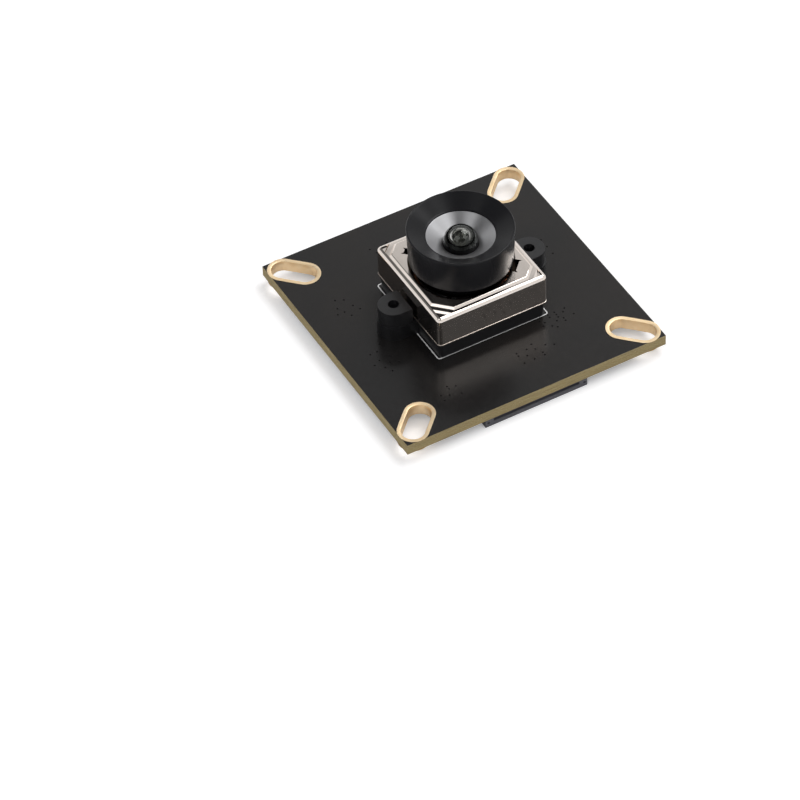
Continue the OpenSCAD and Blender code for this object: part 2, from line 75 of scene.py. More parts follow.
def editWhere(piece, kind, parts, test):
    # edit mode, with only the faces, edges or points selected that pass a test
    editAll(piece, kind)
    bpy.ops.mesh.select_all(action="DESELECT")
    leaveEdit()
    for part in getattr(piece.data, parts):
        part.select = test(part)
    bpy.ops.object.mode_set(mode="EDIT")


def editFaces(piece, test):
    editWhere(piece, "FACE", "polygons", lambda face: test(face.center, face.normal))


def editEdges(piece, test):
    points = piece.data.vertices
    editWhere(piece, "EDGE", "edges", lambda edge: test(*(points[i].co for i in edge.vertices)))


def editPoints(piece, test):
    editWhere(piece, "VERT", "vertices", lambda point: test(point.co))


def editLoops(piece, wanted):
    # the edges whose points are all in a set of numbers
    editWhere(piece, "EDGE", "edges", lambda edge: all(i in wanted for i in edge.vertices))


def near(a, b, gap=0.02 * mm):
    return abs(a - b) < gap


def facesUp(centre, normal):
    return normal.z > 0.9


def facesDown(centre, normal):
    return normal.z < -0.9


def pull(step):
    # extrude the selected faces
    bpy.ops.mesh.extrude_region_move(TRANSFORM_OT_translate={"value": step})


def movePoints(piece, test, step):
    editPoints(piece, test)
    bpy.ops.transform.translate(value=step)
    leaveEdit()


def insetFaces(piece, test, *steps):
    # one inset inside another, each with its width and depth
    editFaces(piece, test)
    for width, depth in steps:
        bpy.ops.mesh.inset(thickness=width, depth=depth)
    leaveEdit()


def bevelEdges(piece, test, width, segments):
    editEdges(piece, test)
    bpy.ops.mesh.bevel(offset=width, segments=segments)
    leaveEdit()


def settle(piece):
    # the piece's place and size go into its mesh
    makeActive(piece)
    bpy.ops.object.transform_apply(location=True, rotation=True, scale=True)


def named(name):
    # the primitive just added gets its name and is settled
    piece = bpy.context.object
    piece.name = name
    settle(piece)
    return piece


def block(name, low, high):
    # a cube between two corners
    startFresh()
    low, high = Vector(low), Vector(high)
    bpy.ops.mesh.primitive_cube_add(size=1, location=(low + high) / 2, scale=high - low)
    return named(name)


def rod(name, radius, bottom, top, centre=(0, 0), sides=64):
    startFresh()
    place = (centre[0], centre[1], (bottom + top) / 2)
    bpy.ops.mesh.primitive_cylinder_add(vertices=sides, radius=radius, depth=top - bottom,
                                        location=place)
    return named(name)


def crossRod(name, radius, length, centre):
    # a rod that lies along X
    startFresh()
    bpy.ops.mesh.primitive_cylinder_add(vertices=32, radius=radius, depth=length,
                                        location=centre, rotation=(0, math.radians(90), 0))
    return named(name)


def changed(piece, kind, **values):
    # one modifier, applied at once
    makeActive(piece)
    modifier = piece.modifiers.new("step", kind)
    for key, value in values.items():
        setattr(modifier, key, value)
    bpy.ops.object.modifier_apply(modifier="step")


def combine(piece, other, way):
    # the other piece is used up
    changed(piece, "BOOLEAN", operation=way, solver="EXACT", object=other)
    bpy.data.objects.remove(other, do_unlink=True)


def cut(piece, other):
    combine(piece, other, "DIFFERENCE")


def fuse(piece, other):
    combine(piece, other, "UNION")


def softEdges(piece, width, segments=2, angle=35):
    changed(piece, "BEVEL", width=width, segments=segments, limit_method="ANGLE",
            angle_limit=math.radians(angle), harden_normals=False)


def smooth(piece, angle=35):
    # round edges shade as round, and flat faces stay flat right up to them
    makeActive(piece)
    bpy.ops.object.shade_smooth_by_angle(angle=math.radians(angle))
    changed(piece, "WEIGHTED_NORMAL", keep_sharp=True, weight=100)


def outward(piece):
    editAll(piece)
    bpy.ops.mesh.remove_doubles(threshold=0.0005 * mm)
    bpy.ops.mesh.normals_make_consistent(inside=False)
    leaveEdit()


def turned(name, profile, sides=96, ends="bridge", spot=(0, 0)):
    # a lathe profile of (radius, height) in mm above the board, extruded ring by ring
    startFresh()
    rings = [(r * mm, boardTop + z * mm) for r, z in profile]
    bpy.ops.mesh.primitive_circle_add(vertices=sides, radius=rings[0][0],
                                      location=(0, 0, rings[0][1]))
    piece = named(name)
    editAll(piece, "EDGE")
    for (r0, z0), (r1, z1) in zip(rings, rings[1:]):
        bpy.ops.mesh.extrude_edges_move(TRANSFORM_OT_translate={"value": (0, 0, z1 - z0)})
        bpy.ops.transform.resize(value=(r1 / r0, r1 / r0, 1), center_override=(0, 0, z1))
    leaveEdit()
    total = len(piece.data.vertices)
    first, last = set(range(sides)), set(range(total - sides, total))
    if ends == "bridge":
        editLoops(piece, first | last)
        bpy.ops.mesh.bridge_edge_loops()
        leaveEdit()
    if ends == "caps":
        for loop in (first, last):
            editLoops(piece, loop)
            bpy.ops.mesh.edge_face_add()
            leaveEdit()
    outward(piece)
    piece.location = (spot[0], spot[1], 0)
    settle(piece)
    return piece


def copied(piece, name, step=(0, 0, 0), degrees=0):
    # a copy with its own mesh, moved, or turned about the optical axis
    makeActive(piece)
    bpy.ops.object.duplicate()
    copy = bpy.context.object
    copy.name = name
    copy.location = step
    copy.rotation_euler = (0, 0, math.radians(degrees))
    settle(copy)
    return copy


def fourRound(piece, stem):
    # the piece and three copies, each a quarter turn on
    return [piece] + [copied(piece, f"{stem}_{i + 1}", degrees=90 * i) for i in (1, 2, 3)]


def joined(parts):
    startFresh()
    for part in parts:
        part.select_set(True)
    bpy.context.view_layer.objects.active = parts[0]
    bpy.ops.object.join()
    return bpy.context.object


def spread(piece, places):
    # the piece copied to several places and joined; it isn't kept at its first place
    copies = [copied(piece, piece.name, place) for place in places]
    bpy.data.objects.remove(piece, do_unlink=True)
    return joined(copies)


def finish(piece, body, material, replaces=None, shade=35):
    # shade is the angle up to which neighbouring faces shade as one
    if shade:
        smooth(piece, shade)
    piece.data.materials.clear()
    piece.data.materials.append(material)
    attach(piece, body)
    if replaces:
        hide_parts(replaces)


view = {
    "place": (-0.20757883, -0.37036433, 0.41327201),
    "turn": (44.728544, 1.523982, -29.661940),
    "lens": 206.4298,
    "film": 36,
    "from": 0.05, "to": 20,     # nearest and farthest that it sees
}


def makeCamera():
    data = bpy.data.cameras.new("camera")
    data.lens = view["lens"]
    data.sensor_width = view["film"]
    data.clip_start = view["from"]
    data.clip_end = view["to"]
    camera = bpy.data.objects.new("camera", data)
    camera.location = view["place"]
    camera.rotation_euler = [math.radians(a) for a in view["turn"]]
    bpy.context.scene.collection.objects.link(camera)
    bpy.context.scene.camera = camera


class Tree:
    # short names for wiring nodes
    def __init__(self, tree):
        self.tree = tree

    def give(self, socket, source):
        # another node's output, a colour or a plain value
        if isinstance(source, bpy.types.NodeSocket):
            self.tree.links.new(source, socket)
        elif socket.type == "RGBA":
            socket.default_value = (*source, 1)
        else:
            socket.default_value = source

    def add(self, kind, inputs=None, **values):
        node = self.tree.nodes.new(kind)
        for key, value in values.items():
            setattr(node, key, value)
        for key, source in (inputs or {}).items():
            self.give(node.inputs[key], source)
        return node


class Nodes(Tree):
    # a new material and the patterns that it is made from
    def __init__(self, name):
        self.material = bpy.data.materials.new(name)
        self.material.use_nodes = True
        super().__init__(self.material.node_tree)
        self.shader = self.tree.nodes["Principled BSDF"]
        self.coords = self.add("ShaderNodeTexCoord")

    def put(self, name, source):
        # into one of the shader's own sockets
        self.give(self.shader.inputs[name], source)

    def place(self, stretch=(1, 1, 1)):
        inputs = {"Scale": stretch, "Vector": self.coords.outputs["Object"]}
        return self.add("ShaderNodeMapping", inputs).outputs["Vector"]

    def split(self, vector):
        return self.add("ShaderNodeSeparateXYZ", {"Vector": vector}).outputs

    def noise(self, scale, detail=3, stretch=(1, 1, 1)):
        inputs = {"Scale": scale, "Detail": detail, "Vector": self.place(stretch)}
        return self.add("ShaderNodeTexNoise", inputs).outputs["Fac"]

    def span(self, source, low, high, fromLow=0.3, fromHigh=0.7):
        # one range of values turned into another
        inputs = {"From Min": fromLow, "From Max": fromHigh, "To Min": low, "To Max": high,
                  "Value": source}
        return self.add("ShaderNodeMapRange", inputs).outputs["Result"]

    def blend(self, factor, first, second):
        node = self.add("ShaderNodeMix", data_type="RGBA")
        sockets = {s.identifier: s for s in node.inputs}
        self.give(sockets["A_Color"], first)
        self.give(sockets["B_Color"], second)
        self.give(node.inputs[0], factor)
        return next(s for s in node.outputs if s.identifier == "Result_Color")

    def tones(self, dark, light, scale, detail=3):
        # cloudy change between two near colours
        self.put("Base Color", self.blend(self.span(self.noise(scale, detail), 0, 1), dark, light))

    def gloss(self, low, high, scale):
        # roughness that wanders between two values
        self.put("Roughness", self.span(self.noise(scale), low, high))

    def math(self, operation, *values):
        node = self.add("ShaderNodeMath", dict(enumerate(values)), operation=operation)
        return node.outputs[0]

    def bump(self, height, distance, strength=1.0):
        inputs = {"Distance": distance, "Strength": strength, "Height": height}
        self.put("Normal", self.add("ShaderNodeBump", inputs).outputs["Normal"])


def grainy(name, dark, light, gloss, grain, depth, metallic=0.0, specular=0.5):
    # plain moulded or cast surface: two near tones, uneven gloss, fine grain
    m = Nodes(name)
    m.put("Metallic", metallic)
    m.put("Specular IOR Level", specular)
    m.tones(dark, light, 600)
    m.gloss(*gloss, grain * 0.3)
    m.bump(m.noise(grain, 4), depth)
    return m.material


boardLook = {
    "mask": ((0.0098, 0.0090, 0.0088), (0.0128, 0.0108, 0.0098)),
    "maskGloss": (0.20, 0.25),
    "resin": ((0.20, 0.145, 0.052), (0.34, 0.26, 0.105)),
    "fibre": (0.60, 0.54, 0.36),
    "layers": (260, 260, 9000), "fibres": (9000, 9000, 6000),
    "cutRough": 0.75,
}


def boardMaterial():
    # black solder mask on the faces, cut glass laminate on the edges
    look = boardLook
    m = Nodes("board mask and laminate")
    normal = m.split(m.coords.outputs["Normal"])
    flat = m.span(m.math("ABSOLUTE", normal["Z"]), 0, 1, 0.55, 0.75)
    mask = m.blend(m.span(m.noise(70, 2), 0, 1, 0.45, 0.62), *look["mask"])
    layers = m.span(m.noise(1, 2, look["layers"]), 0, 1, 0.35, 0.65)
    resin = m.blend(layers, *look["resin"])
    fibres = m.span(m.noise(1, 3, look["fibres"]), 0, 0.6, 0.48, 0.72)
    m.put("Base Color", m.blend(flat, m.blend(fibres, resin, look["fibre"]), mask))
    gloss = m.span(m.noise(1500), *look["maskGloss"])
    rough = m.add("ShaderNodeMix", {0: flat, 2: look["cutRough"], 3: gloss}, data_type="FLOAT")
    m.put("Roughness", rough.outputs[0])
    m.bump(m.noise(5200, 3), 0.000008, 0.3)
    return m.material


def goldMaterial():
    # matt gold over the copper
    m = Nodes("gold plating")
    m.put("Metallic", 1.0)
    m.tones((0.94, 0.71, 0.43), (0.99, 0.80, 0.54), 900)
    m.gloss(0.40, 0.48, 2500)
    m.bump(m.noise(5000, 3), 0.000006, 0.35)
    return m.material


def canMaterial():
    # drawn nickel silver, almost a mirror, with the faint grain of the rolled sheet
    m = Nodes("drawn can metal")
    m.put("Metallic", 1.0)
    m.tones((0.88, 0.80, 0.735), (0.93, 0.85, 0.785), 400)
    grain = m.noise(1, 3, (300, 9000, 9000))
    m.put("Roughness", m.span(grain, 0.10, 0.14))
    m.bump(grain, 0.000002, 0.045)
    return m.material


def turnedMaterial(name, tone, rough, lathe, pitch=9000, depth=0.000004,
                   metallic=0.0, specular=0.5):
    # a surface with the fine circles of a lathe, which draw its highlights out into spokes
    m = Nodes(name)
    at = m.split(m.coords.outputs["Object"])
    x2, y2 = (m.math("POWER", at[axis], 2.0) for axis in "XY")
    radius = m.math("SQRT", m.math("ADD", x2, y2))
    along = m.add("ShaderNodeCombineXYZ", {"X": m.math("MULTIPLY", radius, pitch),
                                           "Y": m.math("MULTIPLY", at["Z"], pitch)})
    inputs = {"Scale": 1.0, "Vector": along.outputs["Vector"]}
    rings = m.add("ShaderNodeTexNoise", inputs).outputs["Fac"]
    deep = tuple(c * 0.94 for c in tone)
    m.put("Base Color", m.blend(m.span(rings, 0, 1), deep, tone))
    m.gloss(*rough, 1800)
    m.bump(rings, depth, 0.5)
    m.put("Metallic", metallic)
    m.put("Specular IOR Level", specular)
    m.put("Anisotropic", lathe)
    m.put("Anisotropic Rotation", 0.25)
    tangent = m.add("ShaderNodeTangent", direction_type="RADIAL", axis="Z")
    m.put("Tangent", tangent.outputs["Tangent"])
    return m.material


glassLook = {
    "cloud": 1.04,              # how much lighter the tint is in places
    "rough": 0.02,
    "bend": 1.5,
    "coatTint": (0.96, 1.0, 0.94),
    "paint": (0.006, 0.006, 0.0065),
}


def glassMaterial(name, tint, coat, blacked=None):
    # clear glass; below the height in blacked its faces are painted
    look = glassLook
    m = Nodes(name)
    lighter = tuple(min(1, c * look["cloud"]) for c in tint)
    tone = m.blend(m.span(m.noise(700), 0, 1), tint, lighter)
    m.put("Transmission Weight", 1.0)
    if blacked:
        paint = m.math("LESS_THAN", m.split(m.place())["Z"], blacked)
        tone = m.blend(paint, tone, look["paint"])
        m.put("Transmission Weight", m.math("SUBTRACT", 1.0, paint))
    m.put("Base Color", tone)
    m.put("Roughness", look["rough"])
    m.put("IOR", look["bend"])
    m.put("Specular IOR Level", coat)
    m.put("Specular Tint", look["coatTint"])
    return m.material


def inkMaterial():
    m = Nodes("white ink")
    m.tones((0.72, 0.72, 0.72), (0.92, 0.92, 0.91), 3500, 4)
    m.gloss(0.55, 0.75, 5000)
    m.bump(m.noise(9000), 0.000008, 0.6)
    return m.material


def woundMaterial(name, dark, light, pitch):
    # layers of round wire, side by side along the axis; the colour is painted darker in the
    # grooves between turns and lighter on their crowns, as painted shade and painted highlight
    m = Nodes(name)
    m.put("Metallic", 1.0)
    height = m.split(m.coords.outputs["Object"])["Z"]
    turns = m.math("SINE", m.math("MULTIPLY", height, 2 * math.pi / pitch))
    # painted shade in the grooves between turns, painted highlight on their crowns
    m.put("Base Color", m.blend(m.span(turns, 0, 1, -0.8, 0.9), dark, light))
    m.gloss(0.24, 0.36, 1500)
    m.bump(turns, pitch * 0.2, 0.8)
    return m.material


board = boardMaterial()
gold = goldMaterial()
canMetal = canMaterial()
# dark and light tone, roughness, grain and its depth, metallic, specular
mountBlack = grainy("moulded black", (0.0082, 0.0082, 0.0092), (0.0120, 0.0120, 0.0134),
                    (0.28, 0.36), 9000, 0.000003, 0.0, 0.60)
hoodBlack = turnedMaterial("satin black lens", (0.0108, 0.0108, 0.0122), (0.25, 0.27), 0.3,
                           depth=0.0000002, specular=0.16)
stopBlack = turnedMaterial("matt stop black", (0.010, 0.010, 0.0105), (0.30, 0.40), 0.3,
                           specular=0.6)
noseBlack = turnedMaterial("nose black", (0.010, 0.010, 0.0115), (0.20, 0.26), 0.4,
                           depth=0.0000005)
ringGrey = turnedMaterial("turned grey ring", (0.40, 0.40, 0.41), (0.32, 0.38), 0.5,
                          16000, 0.0000012, 0.9)
# the lens glasses are tinted dark: painted shade for the dark inside of the lens
shadeTintedLensGlass = glassMaterial("coated glass tinted dark as painted shade", (0.11, 0.115, 0.10), 0.15)
domeGlass = glassMaterial("dome glass", (0.66, 0.66, 0.62), 0.05, boardTop + 10.92 * mm)
# tinted nearly black: painted shade for the dark inside the dome
shadeTintedInnerGlass = glassMaterial("inner glass tinted black as painted shade", (0.03, 0.03, 0.026), 0.04)
filterGlass = glassMaterial("filter glass", (0.35, 0.72, 0.74), 0.4)
coverGlass = glassMaterial("cover glass", (0.95, 0.97, 0.97), 0.4)
ink = inkMaterial()
viaBlack = grainy("filled via", (0.0060, 0.0058, 0.0058), (0.0090, 0.0085, 0.0085),
                  (0.7, 0.8), 5000, 0.000002, 0.0, 0.05)
screwSteel = grainy("screw steel", (0.45, 0.45, 0.47), (0.58, 0.58, 0.60),
                    (0.22, 0.34), 5000, 0.000003, 1.0)
connectorBlack = grainy("connector black", (0.060, 0.060, 0.070), (0.078, 0.078, 0.090),
                        (0.40, 0.52), 7000, 0.000008)
contactGold = grainy("contact plating", (0.78, 0.60, 0.33), (0.88, 0.72, 0.44),
                     (0.20, 0.32), 6000, 0.000003, 1.0)
latchBrown = grainy("latch brown", (0.060, 0.047, 0.040), (0.085, 0.068, 0.058),
                    (0.45, 0.58), 7000, 0.000008)
tin = grainy("bright tin", (0.62, 0.62, 0.63), (0.78, 0.78, 0.78),
             (0.18, 0.34), 3500, 0.000006, 1.0)
leafBronze = grainy("leaf spring bronze", (0.030, 0.021, 0.015), (0.045, 0.032, 0.023),
                    (0.24, 0.34), 5000, 0.000003, 1.0)
magnetNickel = grainy("magnet nickel", (0.50, 0.50, 0.52), (0.60, 0.60, 0.62),
                      (0.22, 0.35), 4000, 0.000004, 1.0)
coilWire = woundMaterial("enamelled wire", (0.045, 0.016, 0.008), (0.13, 0.055, 0.026), 0.08 * mm)
ceramic = grainy("sensor ceramic", (0.38, 0.33, 0.27), (0.47, 0.42, 0.35),
                 (0.6, 0.75), 6000, 0.000008)
dieSilicon = grainy("polished silicon", (0.04, 0.055, 0.075), (0.07, 0.09, 0.11),
                    (0.10, 0.18), 3000, 0.000001)
chipBlack = grainy("chip resin", (0.020, 0.020, 0.021), (0.032, 0.032, 0.033),
                   (0.52, 0.66), 8000, 0.000008)
chipDark = grainy("bare chip", (0.045, 0.045, 0.055), (0.065, 0.065, 0.075),
                  (0.14, 0.22), 3000, 0.000001)
crystalMetal = grainy("crystal lid", (0.62, 0.60, 0.54), (0.74, 0.72, 0.66),
                      (0.25, 0.36), 5000, 0.000003, 1.0)
ferrite = grainy("ferrite", (0.075, 0.075, 0.080), (0.115, 0.115, 0.12),
                 (0.6, 0.75), 6000, 0.000012)
capCeramic = grainy("capacitor ceramic", (0.30, 0.21, 0.13), (0.40, 0.30, 0.20),
                    (0.45, 0.6), 7000, 0.000005)
print("materials ready")


studio = {
    "soft": 0.52,               # even light from all round
    "softTint": (0.99, 0.99, 1),
    "wall": 1.0,                # what shiny pieces mirror low in the room
    "ceiling": 0.15,            # and high up
    "edgeLow": 0.610, "edgeHigh": 0.676,
    "lean": -0.15,              # the wall's upper edge falls towards the left
    "floorGlow": 0.27,          # lifts the white of the paper for the camera
    "floorSize": 3,
    "floorDrop": 0.02 * mm,
}


def makeFloor():
    startFresh()
    bpy.ops.mesh.primitive_plane_add(size=studio["floorSize"],
                                     location=(0, 0, -studio["floorDrop"]))
    floor = bpy.context.object
    floor.name = "floor"
    paper = Nodes("white paper")
    paper.tones((0.90, 0.90, 0.91), (0.91, 0.91, 0.92), 3)
    paper.put("Roughness", 0.9)
    paper.put("Specular IOR Level", 0.1)
    paper.put("Emission Color", (1, 1, 1))
    seen = paper.add("ShaderNodeLightPath").outputs["Is Camera Ray"]
    paper.put("Emission Strength", paper.math("MULTIPLY", seen, studio["floorGlow"]))
    floor.data.materials.append(paper.material)


def makeWorld():
    # even light for matt surfaces; shiny ones mirror a bright wall under a darker ceiling
    world = bpy.data.worlds.new("studio")
    bpy.context.scene.world = world
    world.use_nodes = True
    w = Tree(world.node_tree)
    light = w.tree.nodes["Background"]
    w.give(light.inputs["Color"], studio["softTint"])
    w.give(light.inputs["Strength"], studio["soft"])
    white = w.add("ShaderNodeBackground")
    around = w.add("ShaderNodeTexCoord").outputs["Generated"]
    direction = w.add("ShaderNodeSeparateXYZ", {"Vector": around}).outputs
    lean = w.add("ShaderNodeMath", {0: direction["X"], 1: studio["lean"], 2: direction["Z"]},
                 operation="MULTIPLY_ADD")
    edge = w.add("ShaderNodeMapRange", {
        "Value": lean.outputs[0], "From Min": studio["edgeLow"], "From Max": studio["edgeHigh"],
        "To Min": studio["wall"], "To Max": studio["ceiling"]}, interpolation_type="SMOOTHSTEP")
    mirrored = w.add("ShaderNodeBackground", {"Strength": edge.outputs[0]})
    path = w.add("ShaderNodeLightPath").outputs
    shiny = w.add("ShaderNodeMath", {0: path["Is Glossy Ray"], 1: path["Is Transmission Ray"]},
                  operation="MAXIMUM")
    seen = light.outputs[0]
    for factor, other in ((shiny.outputs[0], mirrored), (path["Is Camera Ray"], white)):
        mixed = w.add("ShaderNodeMixShader", {"Fac": factor, 1: seen, 2: other.outputs[0]})
        seen = mixed.outputs[0]
    w.give(w.tree.nodes["World Output"].inputs["Surface"], seen)


lamps = {
    "key": {"place": (0.50, 0.16, 0.86), "size": 0.50, "power": 3.6},
    "front": {"place": (0.30, -0.40, 0.86), "size": 0.46, "power": 1.05},
    "left": {"place": (-0.54, -0.14, 0.84), "size": 0.55, "power": 1.2},
}


def makeLamps():
    for name, lamp in lamps.items():
        data = bpy.data.lights.new(name, "AREA")
        data.energy = lamp["power"]
        data.size = lamp["size"]
        light = bpy.data.objects.new(name, data)
        light.location = lamp["place"]
        aim = Vector((0, 0, 0)) - Vector(lamp["place"])
        light.rotation_euler = aim.to_track_quat("-Z", "Y").to_euler()
        bpy.context.scene.collection.objects.link(light)


boardParts = {
    "slotEdge": 3.05 * mm,      # board edge to slot middle
    "slotRun": 3.0 * mm,
    "slotHalf": 1.55 * mm,
    "lining": 0.05 * mm,
    "rimWidth": 0.53 * mm,
    "rimRise": 0.03 * mm,
    "rimRoll": ((0.07 * mm, -0.02 * mm), (0.03 * mm, -0.06 * mm)),
    "rollWidth": 0.10 * mm, "rollDepth": 0.08 * mm,
    "plating": 0.03 * mm,
    "screwHole": 0.92 * mm,
    "screwX": 10.05 * mm,
    "edge": 0.04 * mm,
}
slotReach = (boardHigh.x - boardParts["slotEdge"]) * math.sqrt(2)
slotTurns = (45, 135, 225, 315)


def slotFace(name, half, height, turn):
    # flat face in a slot's outline, out along the diagonal
    startFresh()
    bpy.ops.mesh.primitive_circle_add(vertices=48, radius=half, fill_type="NGON",
                                      location=(0, 0, 0))
    piece = bpy.context.object
    piece.name = name
    for side in (-1, 1):
        movePoints(piece, lambda p: p.x * side > 0.01 * mm,
                   (side * boardParts["slotRun"] / 2, 0, 0))
    piece.location = (slotReach, 0, height)
    settle(piece)
    piece.rotation_euler = (0, 0, math.radians(turn))
    settle(piece)
    return piece


def buildBoard():
    p = boardParts
    piece = block("board", boardLow, boardHigh)
    for turn in slotTurns:
        hole = slotFace("slot cutter", p["slotHalf"] + p["lining"], boardLow.z - mm, turn)
        editAll(hole)
        pull((0, 0, 4 * mm))        # right through the board
        leaveEdit()
        outward(hole)
        cut(piece, hole)
    for side in (-1, 1):
        cut(piece, rod("hole", p["screwHole"], boardLow.z - mm, boardTop + mm,
                       (side * p["screwX"], 0)))
    softEdges(piece, p["edge"])
    finish(piece, "board", board, "pcb")


def trimTo(piece, spot, direction):
    # cut away what lies beyond a plane, and close the cut
    editAll(piece)
    bpy.ops.mesh.bisect(plane_co=spot, plane_no=direction, use_fill=True, clear_outer=True)
    leaveEdit()


def buildSlotPlating():
    # half a lining with its flat rim, mirrored in the board's middle, then three turned copies
    p = boardParts
    top = boardTop + p["rimRise"]
    piece = slotFace("slot_plating_1", p["slotHalf"] + p["rimWidth"], top, slotTurns[0])
    editAll(piece)
    for width, depth in ((p["rimWidth"] - p["rollWidth"], 0), *p["rimRoll"]):
        bpy.ops.mesh.inset(thickness=width, depth=depth)
    middle = (boardTop + boardLow.z) / 2
    pull((0, 0, -(top - p["rollDepth"] - middle)))
    bpy.ops.mesh.delete(type="FACE")
    bpy.ops.mesh.select_all(action="SELECT")
    bpy.ops.mesh.duplicate()
    bpy.ops.transform.resize(value=(1, 1, -1), center_override=(0, 0, middle))
    leaveEdit()
    outward(piece)
    changed(piece, "SOLIDIFY", thickness=p["plating"], offset=-1)
    for direction in ((1, 0, 0), (0, 1, 0)):
        trimTo(piece, tuple(boardHigh.x * d for d in direction), direction)
    smooth(piece)
    for ring in fourRound(piece, "slot_plating"):
        finish(ring, "board", gold, "slot_plating", None)


outline = {
    "left": -8.05 * mm, "right": 8.28 * mm, "front": -7.83 * mm, "back": 8.2 * mm,
    "line": 0.15 * mm, "corner": 0.4 * mm, "lift": 0.002 * mm, "rise": 0.012 * mm,
}


def buildPrintedOutline():
    # the square line printed around the lens mount
    o = outline
    startFresh()
    centre = ((o["left"] + o["right"]) / 2, (o["front"] + o["back"]) / 2, boardTop + o["lift"])
    bpy.ops.mesh.primitive_plane_add(size=1, location=centre)
    piece = bpy.context.object
    piece.name = "printed_outline"
    piece.scale = (o["right"] - o["left"], o["back"] - o["front"], 1)
    settle(piece)
    editAll(piece, "VERT")
    bpy.ops.mesh.bevel(offset=o["corner"], segments=6, affect="VERTICES")
    bpy.ops.mesh.select_all(action="SELECT")
    bpy.ops.mesh.select_mode(type="FACE")
    bpy.ops.mesh.inset(thickness=o["line"], depth=0)
    bpy.ops.mesh.delete(type="FACE")
    bpy.ops.mesh.select_all(action="SELECT")
    pull((0, 0, o["rise"]))
    leaveEdit()
    outward(piece)
    finish(piece, "board", ink, shade=None)


mountParts = {
    "inset": 0.3 * mm,          # how far the base stands in from the can
    "height": canLow.z - boardTop,
    "corner": 0.45 * mm,
    "earX": 10.05 * mm,
    "earRadius": 2.05 * mm,
    "ledge": 0.15 * mm,         # how far the foot stands out round the ear
    "footHeight": 2.2 * mm,
    "footIn": 0.5 * mm,
    "earHeight": 4.4 * mm,
    "earInner": 8.4 * mm,
    "hole": 0.73 * mm,
    "room": 5.2 * mm,
    "roomHeight": 1.5 * mm,
    "window": 3.5 * mm,
    "pocket": 4.2 * mm,
    "pocketDepth": 0.45 * mm,
    "edge": 0.11 * mm,
    "clear": 9 * mm,            # above everything that is cut
}


def earShape(name, side, radius, height, inner):
    # round end with straight sides towards the mount
    m = mountParts
    x = side * m["earX"]
    top = boardTop + height
    piece = rod(name, radius, boardTop, top, (x, 0), 96)
    left, right = sorted((side * inner, x))
    fuse(piece, block("straight", (left, -radius, boardTop), (right, radius, top)))
    if inner > m["earX"] - radius:
        left, right = sorted((side * inner, side * (m["earX"] - radius - mm)))
        cut(piece, block("spare", (left, -radius - mm, boardTop - mm),
                         (right, radius + mm, top + mm)))
    return piece


def buildMount():
    m = mountParts
    half = canHigh.x - m["inset"]
    piece = block("lens_mount", (-half, -half, boardTop), (half, half, boardTop + m["height"]))
    bevelEdges(piece, lambda a, b: abs(a.z - b.z) > mm, m["corner"], 6)
    for side in (-1, 1):
        foot = earShape("foot", side, m["earRadius"] + m["ledge"], m["footHeight"],
                        half - m["footIn"])
        fuse(foot, earShape("ear", side, m["earRadius"], m["earHeight"], m["earInner"]))
        fuse(piece, foot)
        cut(piece, rod("hole", m["hole"], boardTop - mm, boardTop + m["clear"],
                       (side * m["earX"], 0)))
    for half, low, high in ((m["room"], -mm, m["roomHeight"]), (m["window"], -mm, m["clear"]),
                            (m["pocket"], m["height"] - m["pocketDepth"], m["clear"])):
        cut(piece, block("room", (-half, -half, boardTop + low), (half, half, boardTop + high)))
    softEdges(piece, m["edge"], 3, 40)
    finish(piece, "board", mountBlack, "lens_mount")


canParts = {
    "half": 8.05 * mm,
    "shelf": 4.6 * mm,          # border above the can's lower edge
    "rise": 0.28 * mm,          # raised middle above the border
    "slope": 0.28 * mm,
    "sheet": 0.25 * mm,
    "corner": 0.64 * mm,
    "rim": 0.56 * mm,           # stays under the corner
    "crease": 0.07 * mm,
    "foot": 0.04 * mm,
    "footHeight": 0.16 * mm,
    "footEdge": 0.03 * mm,
    "left": -7.45 * mm, "front": -7.30 * mm, "right": 7.3 * mm, "back": 7.2 * mm,
    "cutFrontLeft": 2.2 * mm,
    "cutOther": 1.7 * mm,
    "opening": 6.9 * mm,
    "notches": (                # turn, from, to, reach and horn in mm
        (-45, -0.6, 1.7, 7.28, 0.30), (45, -0.7, 0.7, 7.35, 0.25),
        (135, -0.35, 0.75, 7.50, 0.32), (225, -1.35, 1.2, 7.30, 0),
    ),
    "hornWidth": 0.28 * mm, "hornSpread": 1.4,
    "dipGap": 0.85 * mm,        # raised middle's corner to the pressed triangle
    "dip": 0.19 * mm,
    "dipLean": 0.27 * mm,
    "dipHalf": 3 * mm,
}


def roundedBlock(name, half, low, high, corner, sides=8):
    piece = block(name, (-half, -half, low), (half, half, high))
    bevelEdges(piece, lambda a, b: abs(a.z - b.z) > 0.0001 * mm, corner, sides)
    return piece


def raisedMiddle(name, low, rise, grow=0.0):
    # eight-sided block whose walls slope in towards its top
    c = canParts
    left, front = c["left"] - grow, c["front"] - grow
    right, back = c["right"] + grow, c["back"] + grow
    piece = block(name, (left, front, low - 0.2 * mm), (right, back, low))
    for x, y in ((left, front), (right, front), (right, back), (left, back)):
        width = c["cutFrontLeft"] if (x, y) == (left, front) else c["cutOther"]
        bevelEdges(piece, lambda a, b: abs(a.z - b.z) > 0.1 * mm and near(a.x, x)
                   and near(a.y, y), width, 1)
    insetFaces(piece, facesUp, (c["slope"], rise))
    return piece


